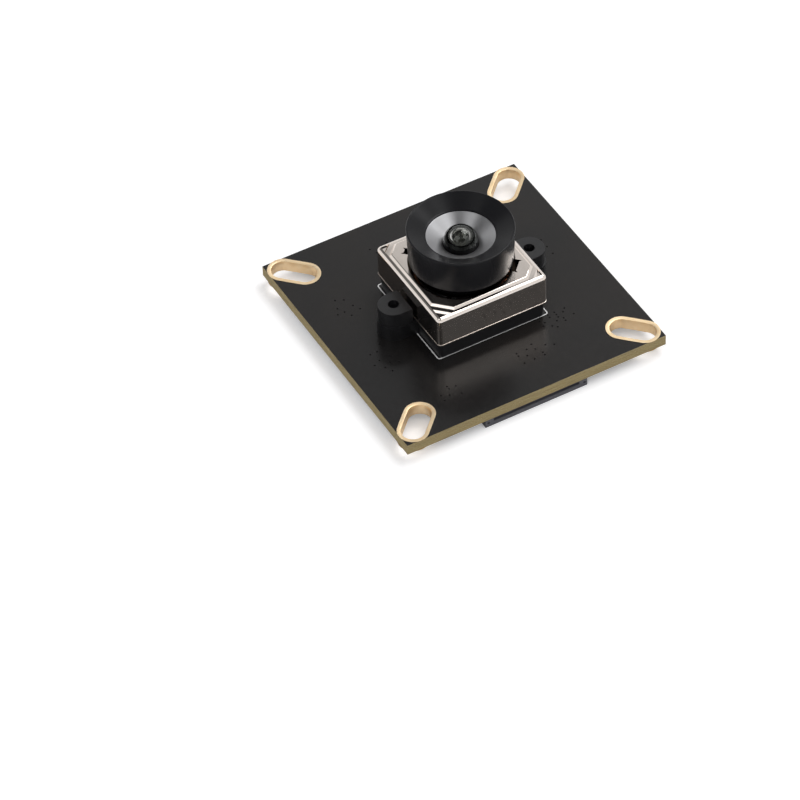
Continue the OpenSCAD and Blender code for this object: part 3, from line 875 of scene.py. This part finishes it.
def pressedCorner(sx, sy):
    # cutter for the low triangle of the border beyond one corner; its long side leans
    c = canParts
    x = abs(c["right"] if sx > 0 else c["left"])
    y = abs(c["back"] if sy > 0 else c["front"])
    corner = c["cutFrontLeft"] if sx < 0 and sy < 0 else c["cutOther"]
    edge = c["half"] - c["rim"] + 0.05 * mm
    reach = (x + y - corner) / math.sqrt(2) + c["dipGap"]
    top = canLow.z + c["shelf"]
    out = edge * math.sqrt(2)
    piece = block("press", (reach, -c["dipHalf"], top - c["dip"]),
                  (out + mm, c["dipHalf"], top + mm))
    movePoints(piece, lambda p: p.x < reach + 0.1 * mm and p.z > top,
               (-c["dipLean"] * (mm + c["dip"]) / c["dip"], 0, 0))
    piece.rotation_euler = (0, 0, math.atan2(sy, sx))
    settle(piece)
    limit = block("limit", (-edge, -edge, top - mm), (edge, edge, top + 2 * mm))
    combine(piece, limit, "INTERSECT")
    return piece


def notchCutter(turn, low, high, reach, horn):
    # notch between two lines along its diagonal, with a thin horn at each outer corner
    c = canParts
    floor = canLow.z + c["shelf"] - mm
    piece = block("notch", (c["opening"] - mm, low, floor), (reach, high, floor + 3 * mm))
    if horn > 0:
        insetFaces(piece, lambda centre, normal: normal.x > 0.9, (c["hornWidth"], 0))
        movePoints(piece, lambda p: p.x > reach - 0.01 * mm and (near(p.y, low) or
                   near(p.y, high)), (horn, 0, 0))
        editPoints(piece, lambda p: near(p.x, reach) and (p.z < floor + mm or
                   p.z > floor + 2 * mm))
        bpy.ops.transform.resize(value=(1, 1, c["hornSpread"]),
                                 center_override=(0, 0, floor + 1.5 * mm))
        leaveEdit()
    piece.rotation_euler = (0, 0, math.radians(turn))
    settle(piece)
    return piece


def buildCan():
    c = canParts
    bottom = canLow.z
    shelf = bottom + c["shelf"]
    piece = roundedBlock("can", c["half"], bottom, shelf, c["corner"])
    # rolled rim
    bevelEdges(piece, lambda a, b: near(a.z, shelf) and near(b.z, shelf), c["rim"], 9)
    for sx, sy in ((-1, -1), (1, -1), (1, 1), (-1, 1)):
        cut(piece, pressedCorner(sx, sy))
    fuse(piece, raisedMiddle("middle", shelf, c["rise"]))
    # soften the creases of the drawn top
    plateau = shelf + c["rise"]
    bevelEdges(piece, lambda a, b: near(a.z, plateau) and near(b.z, plateau), c["crease"], 3)
    foot = roundedBlock("foot", c["half"] + c["foot"], bottom, bottom + c["footHeight"],
                        c["corner"] + c["foot"])
    bevelEdges(foot, lambda a, b: near(a.z, b.z) and a.z > bottom + c["footHeight"] / 2,
               c["footEdge"], 2)
    fuse(piece, foot)
    # hollow, one sheet thick
    ceiling = shelf - c["sheet"]
    inside = roundedBlock("inside", c["half"] - c["sheet"], bottom - mm, ceiling,
                          c["corner"] - c["sheet"])
    fuse(inside, raisedMiddle("inside top", ceiling, c["rise"], -0.1 * mm))
    cut(piece, inside)
    hole = rod("opening", c["opening"], shelf - 0.9 * mm, shelf + mm, (0, 0), 160)
    for turn, *sizes in c["notches"]:
        fuse(hole, notchCutter(turn, *(size * mm for size in sizes)))
    cut(piece, hole)
    finish(piece, "board", canMetal, "can", 25)


lensParts = {               # mm above the board
    "bore": 3.2,
    "frontFoot": 10.03,
    "elements": {           # lower face, height, bulge above and below
        "lens_2": (8.13, 1.20, -0.30, -0.20),
        "lens_3": (5.93, 1.40, 0.30, -0.30),
        "lens_4": (3.90, 1.33, 0.20, 0.20),
    },
    "face": 2.24,
    "spacers": {            # lower face and height
        "spacer_1": (9.43, 0.60), "spacer_2": (7.33, 0.80), "spacer_3": (5.23, 0.70),
        "rear_ring": (3.40, 0.50),
    },
    "spacerWall": 0.6,
    "spacerStep": 0.15,     # height of the steps in a spacer's bore, and their depth
    "spacerGroove": 0.08,
    "pupil": 1.44,
    "threadFoot": 3.35, "threadPitch": 0.4, "threads": 11,
    "dishLow": (2.35, 10.24), "dishHigh": (4.40, 11.53), "lands": 16,
    "well": (1.27, 9.98), "wellSteps": 5, "wellStep": (0.03, 0.09),
    "dome": {"radius": 2.3, "middle": 10.43, "hollow": 1.24, "hollowMiddle": 11.0,
             "inner": 1.13, "innerMiddle": 10.45, "innerFoot": 10.05},
}


def buildBarrel():
    # threaded neck, wide hood, funnel and the seat of the front ring
    p = lensParts
    thread = []
    for i in range(p["threads"]):
        z = p["threadFoot"] + p["threadPitch"] * i
        thread += [(4.9, z), (4.9, z + 0.1), (4.8, z + 0.2), (4.8, z + 0.3)]
    neck = [(4.8, 3.1), (4.88, 3.18)] + thread + [(4.9, 7.86)]
    hood = [(6.5, 7.9), (6.60, 7.905), (6.68, 7.93), (6.74, 7.99), (6.775, 8.08),
            (6.965, 12.74), (6.955, 12.81), (6.92, 12.865), (6.86, 12.895), (6.79, 12.90),
            (6.73, 12.885), (6.68, 12.85)]
    funnel = [(4.72, 11.79), (4.70, 11.765), (4.56, 11.71), (4.51, 11.69), (4.5, 11.66),
              (4.5, 11.40)]
    bore = [(p["bore"], 10.60), (p["bore"], 3.1)]
    piece = turned("lens_barrel", neck + hood + funnel + bore, 160)
    finish(piece, "lens", hoodBlack, "lens_barrel", 28)


def buildFrontRing():
    # grey dish that falls from the funnel to the foot of the dome
    low, high = lensParts["dishLow"], lensParts["dishHigh"]
    fall = (high[1] - low[1]) / (high[0] - low[0])
    profile = [(low[0], low[1] - 0.12), (high[0] + 0.09, high[1] - 0.06),
               (high[0] + 0.09, high[1]), (high[0] + 0.06, high[1] + 0.03)]
    for i in range(lensParts["lands"]):         # fine turned lands
        r = high[0] - (high[0] - low[0] - 0.05) * i / lensParts["lands"]
        z = low[1] + fall * (r - low[0])
        profile += [(r, z), (r - 0.07, z - 0.07 * fall - 0.003)]
    profile += [(low[0], low[1])]
    finish(turned("front_ring", profile, 128), "lens", ringGrey, "front_ring", 30)


def buildBaffle():
    # black stepped well under the front glass
    p = lensParts
    profile = [(2.50, 9.50), (2.50, 9.98), (2.46, 10.01), (1.30, 10.01), p["well"]]
    for i in range(p["wellSteps"]):
        r, z = p["well"][0] + p["wellStep"][0] * i, p["well"][1] - p["wellStep"][1] * i
        profile += [(r, z - 0.045), (r + 0.05, z - 0.05), (r + 0.05, z - 0.085)]
    profile += [(1.45, 9.50)]
    finish(turned("front_baffle", profile, 128), "lens", noseBlack, shade=28)


def domeCurve(radius, middle):
    # a ball's outline from just off its top down to its middle
    points = []
    for i in range(25):
        a = max(0.012, math.pi / 2 * i / 24)
        points.append((radius * math.sin(a), middle + radius * math.cos(a)))
    return points


def faceCurve(height, bulge):
    # a lens face from just off its middle to its rim
    r = lensParts["face"]
    points = []
    for i in range(13):
        at = max(0.03, r * i / 12)
        points.append((at, height + bulge * (1 - (at / r) ** 2)))
    return points


def glassPiece(name, profile, material, replaces=None):
    finish(turned(name, profile, 96, "caps"), "lens", material, replaces, 30)


def buildGlasses():
    rim = lensParts["bore"] - 0.01
    # front glass: a deep dome, hollowed from behind
    d, foot = lensParts["dome"], lensParts["frontFoot"]
    edge = [(d["radius"], 10.09), (2.36, 10.06), (3.1, 10.50), (rim, 10.46), (rim, 10.12),
            (rim - 0.1, foot), (d["hollow"], foot)]
    hollow = domeCurve(d["hollow"], d["hollowMiddle"])[::-1]
    glassPiece("lens_1", domeCurve(d["radius"], d["middle"]) + edge + hollow, domeGlass, "lens_1")
    for name, (low, height, up, down) in lensParts["elements"].items():
        top = low + height
        edge = [(rim - 0.12, top), (rim, top - 0.12), (rim, low + 0.12), (rim - 0.12, low)]
        profile = faceCurve(top, up) + edge + faceCurve(low, down)[::-1]
        glassPiece(name, profile, shadeTintedLensGlass, name)


def buildInnerGlass():
    # steep second face of the front group; its glass is tinted nearly black, a painted shade for
    # the dark inside the dome
    d = lensParts["dome"]
    side, foot = d["inner"], d["innerFoot"]
    edge = [(side, foot + 0.03), (side - 0.03, foot), (0.03, foot)]
    glassPiece("front_inner_glass", domeCurve(side, d["innerMiddle"]) + edge, shadeTintedInnerGlass)


def buildSpacers():
    # rings between the glasses, their bores stepped against stray light
    p = lensParts
    rim, bore = p["bore"] - 0.01, p["bore"] - p["spacerWall"]
    groove = bore + p["spacerGroove"]
    for name, (low, height) in p["spacers"].items():
        count = max(2, round(height / p["spacerStep"]))
        step = height / count
        profile = [(rim, low), (rim, low + height), (bore + 0.03, low + height)]
        for i in range(count):
            z = low + height - step * i
            profile += [(bore, z - 0.01), (bore, z - step * 0.45), (groove, z - step * 0.55),
                        (groove, z - step * 0.9)]
        profile += [(bore, low)]
        finish(turned(name, profile), "lens", stopBlack, name, 30)
    low, pupil = p["spacers"]["spacer_1"][0], p["pupil"]
    stop = [(pupil, low - 0.06), (pupil + 0.04, low), (rim, low), (rim, low - 0.1),
            (pupil + 0.04, low - 0.1)]
    finish(turned("aperture_stop", stop), "lens", stopBlack, "aperture_stop", 30)


drive = {                   # mm
    "half": 7.79, "corner": 0.3,
    "plates": {"actuator_base": (5.2, 0.05), "top_frame": (6.45, 0.03)},    # hole and edge
    "bore": 4.9,
    "flange": 0.35,
    "wire": 0.35,           # thickness of the coil, and its rows of wire
    "turns": 14,
    "magnetIn": 6.45, "magnetHalf": 4.0, "magnetEdge": 0.08,
}


def heights(node):
    # a node's lowest and highest point in mm above the board
    low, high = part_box(node)
    return (low.z - boardTop) / mm, (high.z - boardTop) / mm


def buildDrive():
    d = drive
    for name, (hole, edge) in d["plates"].items():
        low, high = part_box(name)
        piece = roundedBlock(name, d["half"] * mm, low.z, high.z, d["corner"] * mm)
        cut(piece, rod("hole", hole * mm, low.z - mm, high.z + mm, (0, 0), 96))
        softEdges(piece, edge * mm)
        finish(piece, "board", mountBlack, name)

    low, high = heights("lens_carrier")
    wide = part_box("coil")[1].x / mm
    outer, bore, flange = wide - d["wire"], d["bore"], low + d["flange"]
    profile = [(bore, low), (wide - 0.04, low), (wide, low + 0.04), (wide, flange),
               (outer, flange), (outer, high - 0.05), (outer - 0.05, high), (bore + 0.1, high),
               (bore, high - 0.1)]
    finish(turned("lens_carrier", profile), "lens", mountBlack,
           "lens_carrier", 30)

    low, high = heights("coil")
    step = (high - low) / d["turns"]
    profile = [(outer + 0.005, low)]
    for i in range(d["turns"]):
        profile += [(wide - 0.05, low + step * i), (wide - 0.01, low + step * (i + 0.25)),
                    (wide, low + step * (i + 0.5)), (wide - 0.01, low + step * (i + 0.75))]
    profile += [(wide - 0.05, high), (outer + 0.005, high)]
    finish(turned("coil", profile), "lens", coilWire, "coil", 60)

    low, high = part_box("magnets")
    half = d["magnetHalf"] * mm
    bar = block("magnet_1", (d["magnetIn"] * mm, -half, low.z), (high.x, half, high.z))
    softEdges(bar, d["magnetEdge"] * mm, 3)
    smooth(bar)
    for magnet in fourRound(bar, "magnet"):
        finish(magnet, "board", magnetNickel, "magnets", None)


sensorParts = {
    "well": 3.3 * mm,           # room of the die
    "shelfHalfX": 2.6 * mm, "shelfHalfY": 2.0 * mm,
    "shelfOut": 0.45 * mm, "shelfDrop": 0.3 * mm,
    "edge": 0.04 * mm,
    "dieFrame": ((0.35 * mm, 0), (0.02 * mm, -0.01 * mm)),
}


def nodeBlock(name, edge, segments=2):
    # a block in the place of a CAD node, with soft edges
    piece = block(name, *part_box(name))
    softEdges(piece, edge, segments)
    return piece


def buildSensor():
    s = sensorParts
    low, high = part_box("sensor_body")
    dieLow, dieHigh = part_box("sensor_die")
    well = s["well"]
    piece = block("sensor_body", low, high)
    cut(piece, block("well", (-well, -well, dieLow.z), (well, well, high.z + mm)))
    for side in (-1, 1):
        a, b = sorted((side * (well - 0.02 * mm), side * (well + s["shelfOut"])))
        x, y = s["shelfHalfX"], s["shelfHalfY"]
        for first, last in (((a, -x), (b, x)), ((-y, a), (y, b))):
            cut(piece, block("shelf", (*first, high.z - s["shelfDrop"]), (*last, high.z + mm)))
    softEdges(piece, s["edge"])
    finish(piece, "board", ceramic, "sensor_body")

    piece = block("sensor_die", dieLow, dieHigh)
    insetFaces(piece, facesUp, *s["dieFrame"])
    finish(piece, "board", dieSilicon, "sensor_die")
    for name, material, slot in (("sensor_cover", coverGlass, "glass"),
                                 ("ir_filter", filterGlass, "filter_glass")):
        finish(nodeBlock(name, s["edge"]), "board", material, name)


screwParts = {              # mm; heights above the board's top
    "head": 1.4, "headHeight": 0.9,
    "core": 0.60, "thread": 0.715, "pitch": 0.2,
    "tip": 3.25, "under": -1.6,
    "recessLong": 0.75, "recessWide": 0.16, "recessDepth": 0.45,
}


def buildScrews():
    c = screwParts
    under, foot = c["under"], c["under"] - c["headHeight"]
    profile = [(0.05, foot), (1.12, foot), (1.27, under - 0.86), (1.37, under - 0.77),
               (c["head"], under - 0.64), (c["head"], under - 0.04),
               (c["head"] - 0.04, under - 0.002), (0.66, under - 0.002)]
    for i in range(int((c["tip"] - 0.4 - under) / c["pitch"])):
        z = under + 0.05 + c["pitch"] * i
        profile += [(c["core"], z), (c["core"], z + 0.04), (c["thread"], z + 0.11),
                    (c["thread"], z + 0.14)]
    profile += [(0.58, c["tip"] - 0.36), (0.40, c["tip"] - 0.03), (0.36, c["tip"]),
                (0.05, c["tip"])]
    long, wide = c["recessLong"] * mm, c["recessWide"] * mm
    z = boardTop + foot * mm
    for number, side in ((1, 1), (2, -1)):
        x = side * boardParts["screwX"]
        piece = turned(f"mount_screw_{number}", profile, 40, "caps", (x, 0))
        for w, d in ((long, wide), (wide, long)):
            cut(piece, block("recess", (x - w, -d, z - mm), (x + w, d, z + c["recessDepth"] * mm)))
        finish(piece, "board", screwSteel, "mount_screws")


connector = {
    "contacts": 24, "pitch": 0.5 * mm,
    "edge": 0.05 * mm,
    "wall": 0.05 * mm,          # above the mouth
    "mouthSide": 0.55 * mm,     # past the outer contacts
    "mouthHeight": 0.4 * mm, "mouthDepth": 2.6 * mm,
    "leadIn": 0.3 * mm, "leadFall": 0.35 * mm,
    "bayEnd": 0.2 * mm, "bayDepth": 1.65 * mm, "bayHeight": 0.76 * mm,
    "pivotIn": 0.25 * mm, "pivotUp": 0.42 * mm,
    "bearing": 0.21 * mm, "pin": 0.18 * mm,
    "markSide": 0.75 * mm, "markHalf": 0.16 * mm, "markDepth": 0.12 * mm,
    "markLow": 0.62 * mm, "markHigh": 0.3 * mm,
    "footHalf": 0.1 * mm, "footThick": 0.15 * mm, "footBend": (0, -0.12 * mm, -0.10 * mm),
    "footEnd": (0, -0.3 * mm, 0),
    "fingerHalf": 0.08 * mm, "fingerFrom": 0.35 * mm, "fingerTo": 2.5 * mm,
    "fingerLow": 0.10 * mm, "fingerHigh": 0.01 * mm, "fingerTilt": 0.07 * mm,
    "latchEnd": 0.3 * mm, "latchRound": 0.12 * mm, "latchLip": (0.2 * mm, -0.08 * mm),
    "softSmall": 0.03 * mm,
    "tabOut": 0.3 * mm, "tabDent": (0.12 * mm, -0.05 * mm),
}
housingLow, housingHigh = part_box("fpc_housing")
latchLow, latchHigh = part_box("fpc_latch")
plugMiddle = (housingLow.x + housingHigh.x) / 2
plugTop = housingHigh.z - connector["wall"]
pivot = (plugMiddle, latchLow.y + connector["pivotIn"], housingLow.z + connector["pivotUp"])


def across(name, half, low, high):
    # a block centred on the connector, between two (y, z) corners
    return block(name, (plugMiddle - half, *low), (plugMiddle + half, *high))


def buildHousing():
    c = connector
    low, high, top = housingLow, housingHigh, plugTop
    piece = block("fpc_housing", low, high)
    softEdges(piece, c["edge"])
    mouth = (c["contacts"] - 1) * c["pitch"] / 2 + c["mouthSide"]
    cut(piece, across("mouth", mouth, (low.y - mm, top - c["mouthHeight"]),
                      (low.y + c["mouthDepth"], top)))
    # lead-in: the lower lip falls away towards the front
    lip = across("lip", mouth, (low.y - mm, top - c["mouthHeight"] - 0.02 * mm),
                 (low.y + c["leadIn"], top - c["mouthHeight"] + 0.02 * mm))
    movePoints(lip, lambda p: p.z < top - c["mouthHeight"] and p.y < low.y,
               (0, 0, -c["leadFall"]))
    cut(piece, lip)
    bay = latchHigh.x - latchLow.x
    cut(piece, across("bay", bay / 2 - c["bayEnd"], (high.y - c["bayDepth"], low.z - mm),
                      (high.y + mm, low.z + c["bayHeight"])))
    cut(piece, crossRod("bearing", c["bearing"], bay + 0.4 * mm, pivot))
    for side in (-1, 1):
        x = plugMiddle + side * (mouth + c["markSide"])
        cut(piece, block("mark", (x - c["markHalf"], low.y - mm, top - c["markLow"]),
                         (x + c["markHalf"], low.y + c["markDepth"], top - c["markHigh"])))
    finish(piece, "board", connectorBlack, "fpc_housing")


def buildContacts():
    # one contact: the soldered foot, bent up from the housing, and the finger in the mouth
    c = connector
    low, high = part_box("fpc_contacts")
    front, top = housingLow.y, plugTop
    x = plugMiddle - (c["contacts"] - 1) * c["pitch"] / 2
    foot = block("contact", (x - c["footHalf"], low.y - 0.1 * mm, high.z - c["footThick"]),
                 (x + c["footHalf"], high.y, high.z))
    editFaces(foot, lambda centre, normal: normal.y < -0.9)
    pull(c["footBend"])
    pull(c["footEnd"])
    leaveEdit()
    softEdges(foot, c["softSmall"] / 2)
    finger = block("finger", (x - c["fingerHalf"], front + c["fingerFrom"], top - c["fingerLow"]),
                   (x + c["fingerHalf"], front + c["fingerTo"], top - c["fingerHigh"]))
    movePoints(finger, lambda p: p.y < front + mm and p.z < top - c["fingerLow"] / 2,
               (0, 0, -c["fingerTilt"]))
    contact = joined([foot, finger])
    contact.name = "fpc_contacts"
    piece = spread(contact, [(c["pitch"] * i, 0, 0) for i in range(c["contacts"])])
    finish(piece, "board", contactGold, "fpc_contacts")


def buildLatch():
    # flip latch: a bar with rounded back, a grip lip and its two pivots
    c = connector
    low, high = latchLow, latchHigh
    half = (high.x - low.x) / 2 - c["latchEnd"]
    piece = across("fpc_latch", half, (low.y, low.z), (high.y, high.z))
    bevelEdges(piece, lambda a, b: near(a.y, low.y) and near(b.y, low.y) and near(a.z, b.z),
               c["latchRound"], 4)
    insetFaces(piece, facesDown, c["latchLip"])
    softEdges(piece, c["softSmall"])
    fuse(piece, crossRod("pin", c["pin"], 2 * half + 0.6 * mm, pivot))
    finish(piece, "latch", latchBrown, "fpc_latch")


def buildTabs():
    c = connector
    low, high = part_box("fpc_tabs")
    half = housingHigh.x - plugMiddle
    for number, side in ((1, -1), (2, 1)):
        a, b = sorted((plugMiddle + side * half, plugMiddle + side * (half + c["tabOut"])))
        tab = block(f"fpc_tab_{number}", (a, low.y, low.z), (b, high.y, high.z))
        insetFaces(tab, lambda centre, normal: normal.x * side > 0.9, c["tabDent"])
        softEdges(tab, c["softSmall"])
        finish(tab, "board", tin, "fpc_tabs")


def hanging(name, x, y, size):
    # block whose top touches the board's underside
    w, d, h = size
    under = boardLow.z
    return block(name, (x - w / 2, y - d / 2, under - h), (x + w / 2, y + d / 2, under))


passives = {
    "width": 0.5 * mm, "length": 1.0 * mm, "end": 0.22 * mm,
    "edge": 0.02 * mm, "endEdge": 0.04 * mm,
    "solder": 0.16 * mm, "solderUp": 0.6,       # run out on the board, and share of the height
    "solderEdge": 0.03 * mm,
    "kinds": (                  # name, slot, material, height, how many in a row, the two rows
        ("capacitors", "cap_ceramic", capCeramic, 0.5 * mm, 7, (-4.6 * mm, 5.1 * mm)),
        ("resistors", "chip_dark", chipDark, 0.35 * mm, 5, (-12.2 * mm, 11.6 * mm)),
    ),
}


def passiveEnds(name, rise):
    # the two terminals of one chip, solder running down them onto the board
    p = passives
    w, l, under = p["width"], p["length"], boardLow.z
    run = rise * p["solderUp"]
    ends = []
    for side in (-1, 1):
        end = hanging(name, 0, side * (l - p["end"]) / 2, (w, p["end"], rise))
        softEdges(end, p["endEdge"], 3)
        y = side * l / 2
        a, b = sorted((y - side * 0.02 * mm, y + side * p["solder"]))
        solder = block("solder", (-w / 2, a, under - run), (w / 2, b, under + 0.005 * mm))
        movePoints(solder, lambda spot: abs(spot.y) > abs(y) + 0.1 * mm
                   and spot.z < under - 0.05 * mm, (0, 0, run - 0.05 * mm))
        softEdges(solder, p["solderEdge"])
        ends += [end, solder]
    terminal = joined(ends)
    terminal.name = name
    return terminal


def buildPassives():
    p = passives
    w = p["width"]
    for name, slot, material, rise, count, rows in p["kinds"]:
        places = [(4 * w * (i - (count - 1) / 2), y, 0) for y in rows for i in range(count)]
        body = hanging(name, 0, 0, (w - 0.02 * mm, p["length"] - p["end"], rise - 0.01 * mm))
        softEdges(body, p["edge"])
        finish(spread(body, places), "board", material, name)
        ends = spread(passiveEnds(name + "_ends", rise), places)
        finish(ends, "board", tin, name, 50)


regulator = {
    "size": (2.9 * mm, 1.6 * mm, 1.05 * mm),
    "row": -8.0 * mm, "step": 4.5 * mm,
    "waist": 0.6 * mm, "taper": (0.95, 0.9, 1),
    "edge": 0.04 * mm,
    "pinMark": 0.16 * mm, "pinMarkAt": (-1.1 * mm, -0.4 * mm),
    "legs": ((-1, (-1, 0, 1)), (1, (-1, 1))),   # side, and the legs' places along it
    "legStep": 0.95 * mm, "legHalf": 0.2 * mm, "legFrom": 0.76 * mm, "legStart": 0.18 * mm,
    "legHeights": (0.62 * mm, 0.47 * mm), "legEdge": 0.02 * mm,
    "legBends": ((0.09 * mm, 0.06 * mm), (0.06 * mm, 0.30 * mm), (0.27 * mm, 0.09 * mm)),
}


def buildLeg(side, x):
    # one leg, drawn out and down to the board in three bends
    r = regulator
    y, under = r["row"], boardLow.z
    start = y + side * r["legFrom"]
    a, b = sorted((start, start + side * r["legStart"]))
    leg = block("leg", (x - r["legHalf"], a, under - r["legHeights"][0]),
                (x + r["legHalf"], b, under - r["legHeights"][1]))
    for out, rise in r["legBends"]:
        outer = max(abs(p.co.y - y) for p in leg.data.vertices)
        editFaces(leg, lambda centre, normal: abs(abs(centre.y - y) - outer) < 0.02 * mm or
                  (normal.y * side > 0.5 and abs(centre.y - y) > outer - 0.08 * mm))
        pull((0, side * out, rise))
        leaveEdit()
    softEdges(leg, r["legEdge"])
    return leg


def buildRegulators():
    r = regulator
    y, under = r["row"], boardLow.z
    places = [(i * r["step"], 0, 0) for i in (-2, -1, 0)]
    body = hanging("regulators", 0, y, r["size"])
    editPoints(body, lambda p: p.z < under - r["waist"])
    bpy.ops.transform.resize(value=r["taper"], center_override=(0, y, 0))
    leaveEdit()
    softEdges(body, r["edge"])
    markX, markY = r["pinMarkAt"]
    cut(body, rod("pin mark", r["pinMark"], under - 1.2 * mm, under - 1.0 * mm,
                  (markX, y + markY), 24))
    finish(spread(body, places), "board", chipBlack, "regulators")
    legs = [buildLeg(side, i * r["legStep"]) for side, spots in r["legs"] for i in spots]
    oneSet = joined(legs)
    oneSet.name = "regulator_legs"
    finish(spread(oneSet, places), "board", tin, "regulators", 40)


oscillator = {
    "tray": 0.45 * mm, "trayEdge": 0.05 * mm,
    "lidInset": 0.15 * mm, "lidFoot": 0.42 * mm, "lidEdge": 0.03 * mm,
    "weld": ((0.1 * mm, 0), (0.05 * mm, 0.03 * mm)),
}


def buildOscillator():
    # ceramic tray and welded lid
    o = oscillator
    low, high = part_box("oscillator")
    piece = block("oscillator_tray", (low.x, low.y, high.z - o["tray"]), high)
    softEdges(piece, o["trayEdge"])
    finish(piece, "board", ceramic, "oscillator")
    gap = o["lidInset"]
    piece = block("oscillator_lid", (low.x + gap, low.y + gap, low.z),
                  (high.x - gap, high.y - gap, high.z - o["lidFoot"]))
    insetFaces(piece, facesDown, *o["weld"])
    softEdges(piece, o["lidEdge"])
    finish(piece, "board", crystalMetal, "oscillator")


chips = {
    "memoryEdge": 0.04 * mm, "driverEdge": 0.015 * mm,
    "pinMark": 0.2 * mm, "pinMarkIn": 0.45 * mm, "pinMarkDepth": 0.05 * mm,
}


def buildChips():
    # memory chip with its pin mark, and the bare focus driver
    c = chips
    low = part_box("memory_chip")[0]
    piece = nodeBlock("memory_chip", c["memoryEdge"])
    cut(piece, rod("pin mark", c["pinMark"], low.z - mm, low.z + c["pinMarkDepth"],
                   (low.x + c["pinMarkIn"], low.y + c["pinMarkIn"]), 24))
    finish(piece, "board", chipBlack, "memory_chip")
    finish(nodeBlock("focus_driver", c["driverEdge"], 1), "board", chipDark,
           "focus_driver")


inductor = {
    "length": 2.5 * mm, "width": 2.0 * mm,
    "corner": 0.25 * mm, "edge": 0.06 * mm,
    "seat": (1.2 * mm, 1.26 * mm), "seatHalf": 0.65 * mm,   # from and to, out from its middle
    "clip": (1.195 * mm, 1.245 * mm), "clipHalf": 0.62 * mm,
    "clipFoot": 0.15 * mm, "clipEdge": 0.01 * mm,
}


def buildInductors():
    # moulded block with the metal of its two terminals at the ends
    d = inductor
    low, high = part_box("inductors")
    y, x = (low.y + high.y) / 2, high.x - d["length"] / 2
    for number, side in ((1, 1), (2, -1)):
        size = (d["length"], d["width"], high.z - low.z)
        piece = hanging(f"inductor_{number}", side * x, y, size)
        bevelEdges(piece, lambda a, b: abs(a.z - b.z) > 0.2 * mm, d["corner"], 5)
        softEdges(piece, d["edge"])
        for end in (-1, 1):
            a, b = sorted(side * x + end * out for out in d["seat"])
            cut(piece, block("seat", (a, y - d["seatHalf"], low.z - mm),
                             (b, y + d["seatHalf"], high.z + mm)))
        finish(piece, "board", ferrite, "inductors")
        for end in (-1, 1):
            a, b = sorted(side * x + end * out for out in d["clip"])
            clip = block(f"inductor_{number}_clip_{'ab'[end > 0]}",
                         (a, y - d["clipHalf"], low.z + d["clipFoot"]),
                         (b, y + d["clipHalf"], high.z))
            softEdges(clip, d["clipEdge"])
            finish(clip, "board", tin, "inductors")


vias = {
    "radius": 0.13 * mm, "lift": 0.002 * mm, "rise": 0.002 * mm,
    "rim": (0.04 * mm, -0.001 * mm),
    "turn": 2.4,                # golden angle
    "perMm": 2,                 # grid lines to a millimetre
    "groups": (                 # middle and spread in mm, how many
        (8.5, -9.0, 2.6, 1.4, 17), (3.0, -13.0, 3.0, 1.6, 12), (-9.5, -13.5, 2.0, 1.4, 7),
        (-14.0, -4.0, 1.6, 3.2, 10), (-13.5, 6.5, 1.8, 2.2, 8), (13.5, 3.5, 1.6, 2.6, 9),
        (-3.0, 13.5, 3.4, 1.6, 11), (8.0, 13.0, 2.4, 1.2, 8),
    ),
}


def buildVias():
    # filled holes under the mask, seen as fine dents
    v = vias
    startFresh()
    bpy.ops.mesh.primitive_circle_add(vertices=12, radius=v["radius"], fill_type="NGON",
                                      location=(0, 0, boardTop + v["lift"]))
    dot = named("board_vias")
    editAll(dot)
    pull((0, 0, v["rise"]))
    bpy.ops.mesh.inset(thickness=v["rim"][0], depth=v["rim"][1])
    leaveEdit()
    outward(dot)
    places = []
    grid = v["perMm"]
    for group, (x, y, w, d, count) in enumerate(v["groups"]):
        for i in range(count):
            # spiral steps of the golden angle, squared up to the grid
            turn, out = v["turn"] * i + group, math.sqrt((i + 0.5) / count)
            spot = (round((x + w * out * math.cos(turn)) * grid) / grid,
                    round((y + d * out * math.sin(turn)) * grid) / grid)
            if spot not in places:
                places.append(spot)
    piece = spread(dot, [(x * mm, y * mm, 0) for x, y in places])
    finish(piece, "board", viaBlack, shade=None)


# CAD nodes whose own shape is right
kept = {"spring_lower": leafBronze, "spring_upper": leafBronze}


def dressKept():
    for name, material in kept.items():
        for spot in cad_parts[name].material_slots:
            spot.material = material


makeCamera()
makeFloor()
makeWorld()
makeLamps()
bpy.context.scene.view_settings.view_transform = "Standard"
print("camera and studio ready")

stages = {
    "board": (buildBoard, buildSlotPlating, buildPrintedOutline),
    "lens mount": (buildMount,),
    "can": (buildCan,),
    "lens": (buildBarrel, buildFrontRing, buildBaffle, buildInnerGlass, buildGlasses,
             buildSpacers),
    "focus drive and sensor": (buildDrive, buildSensor),
    "screws and connector": (buildScrews, buildHousing, buildContacts, buildLatch, buildTabs),
    "parts of the board": (buildPassives, buildRegulators, buildOscillator, buildChips,
                           buildInductors, buildVias, dressKept),
}
for stage, steps in stages.items():
    for step in steps:
        step()
    print(stage + " ready")
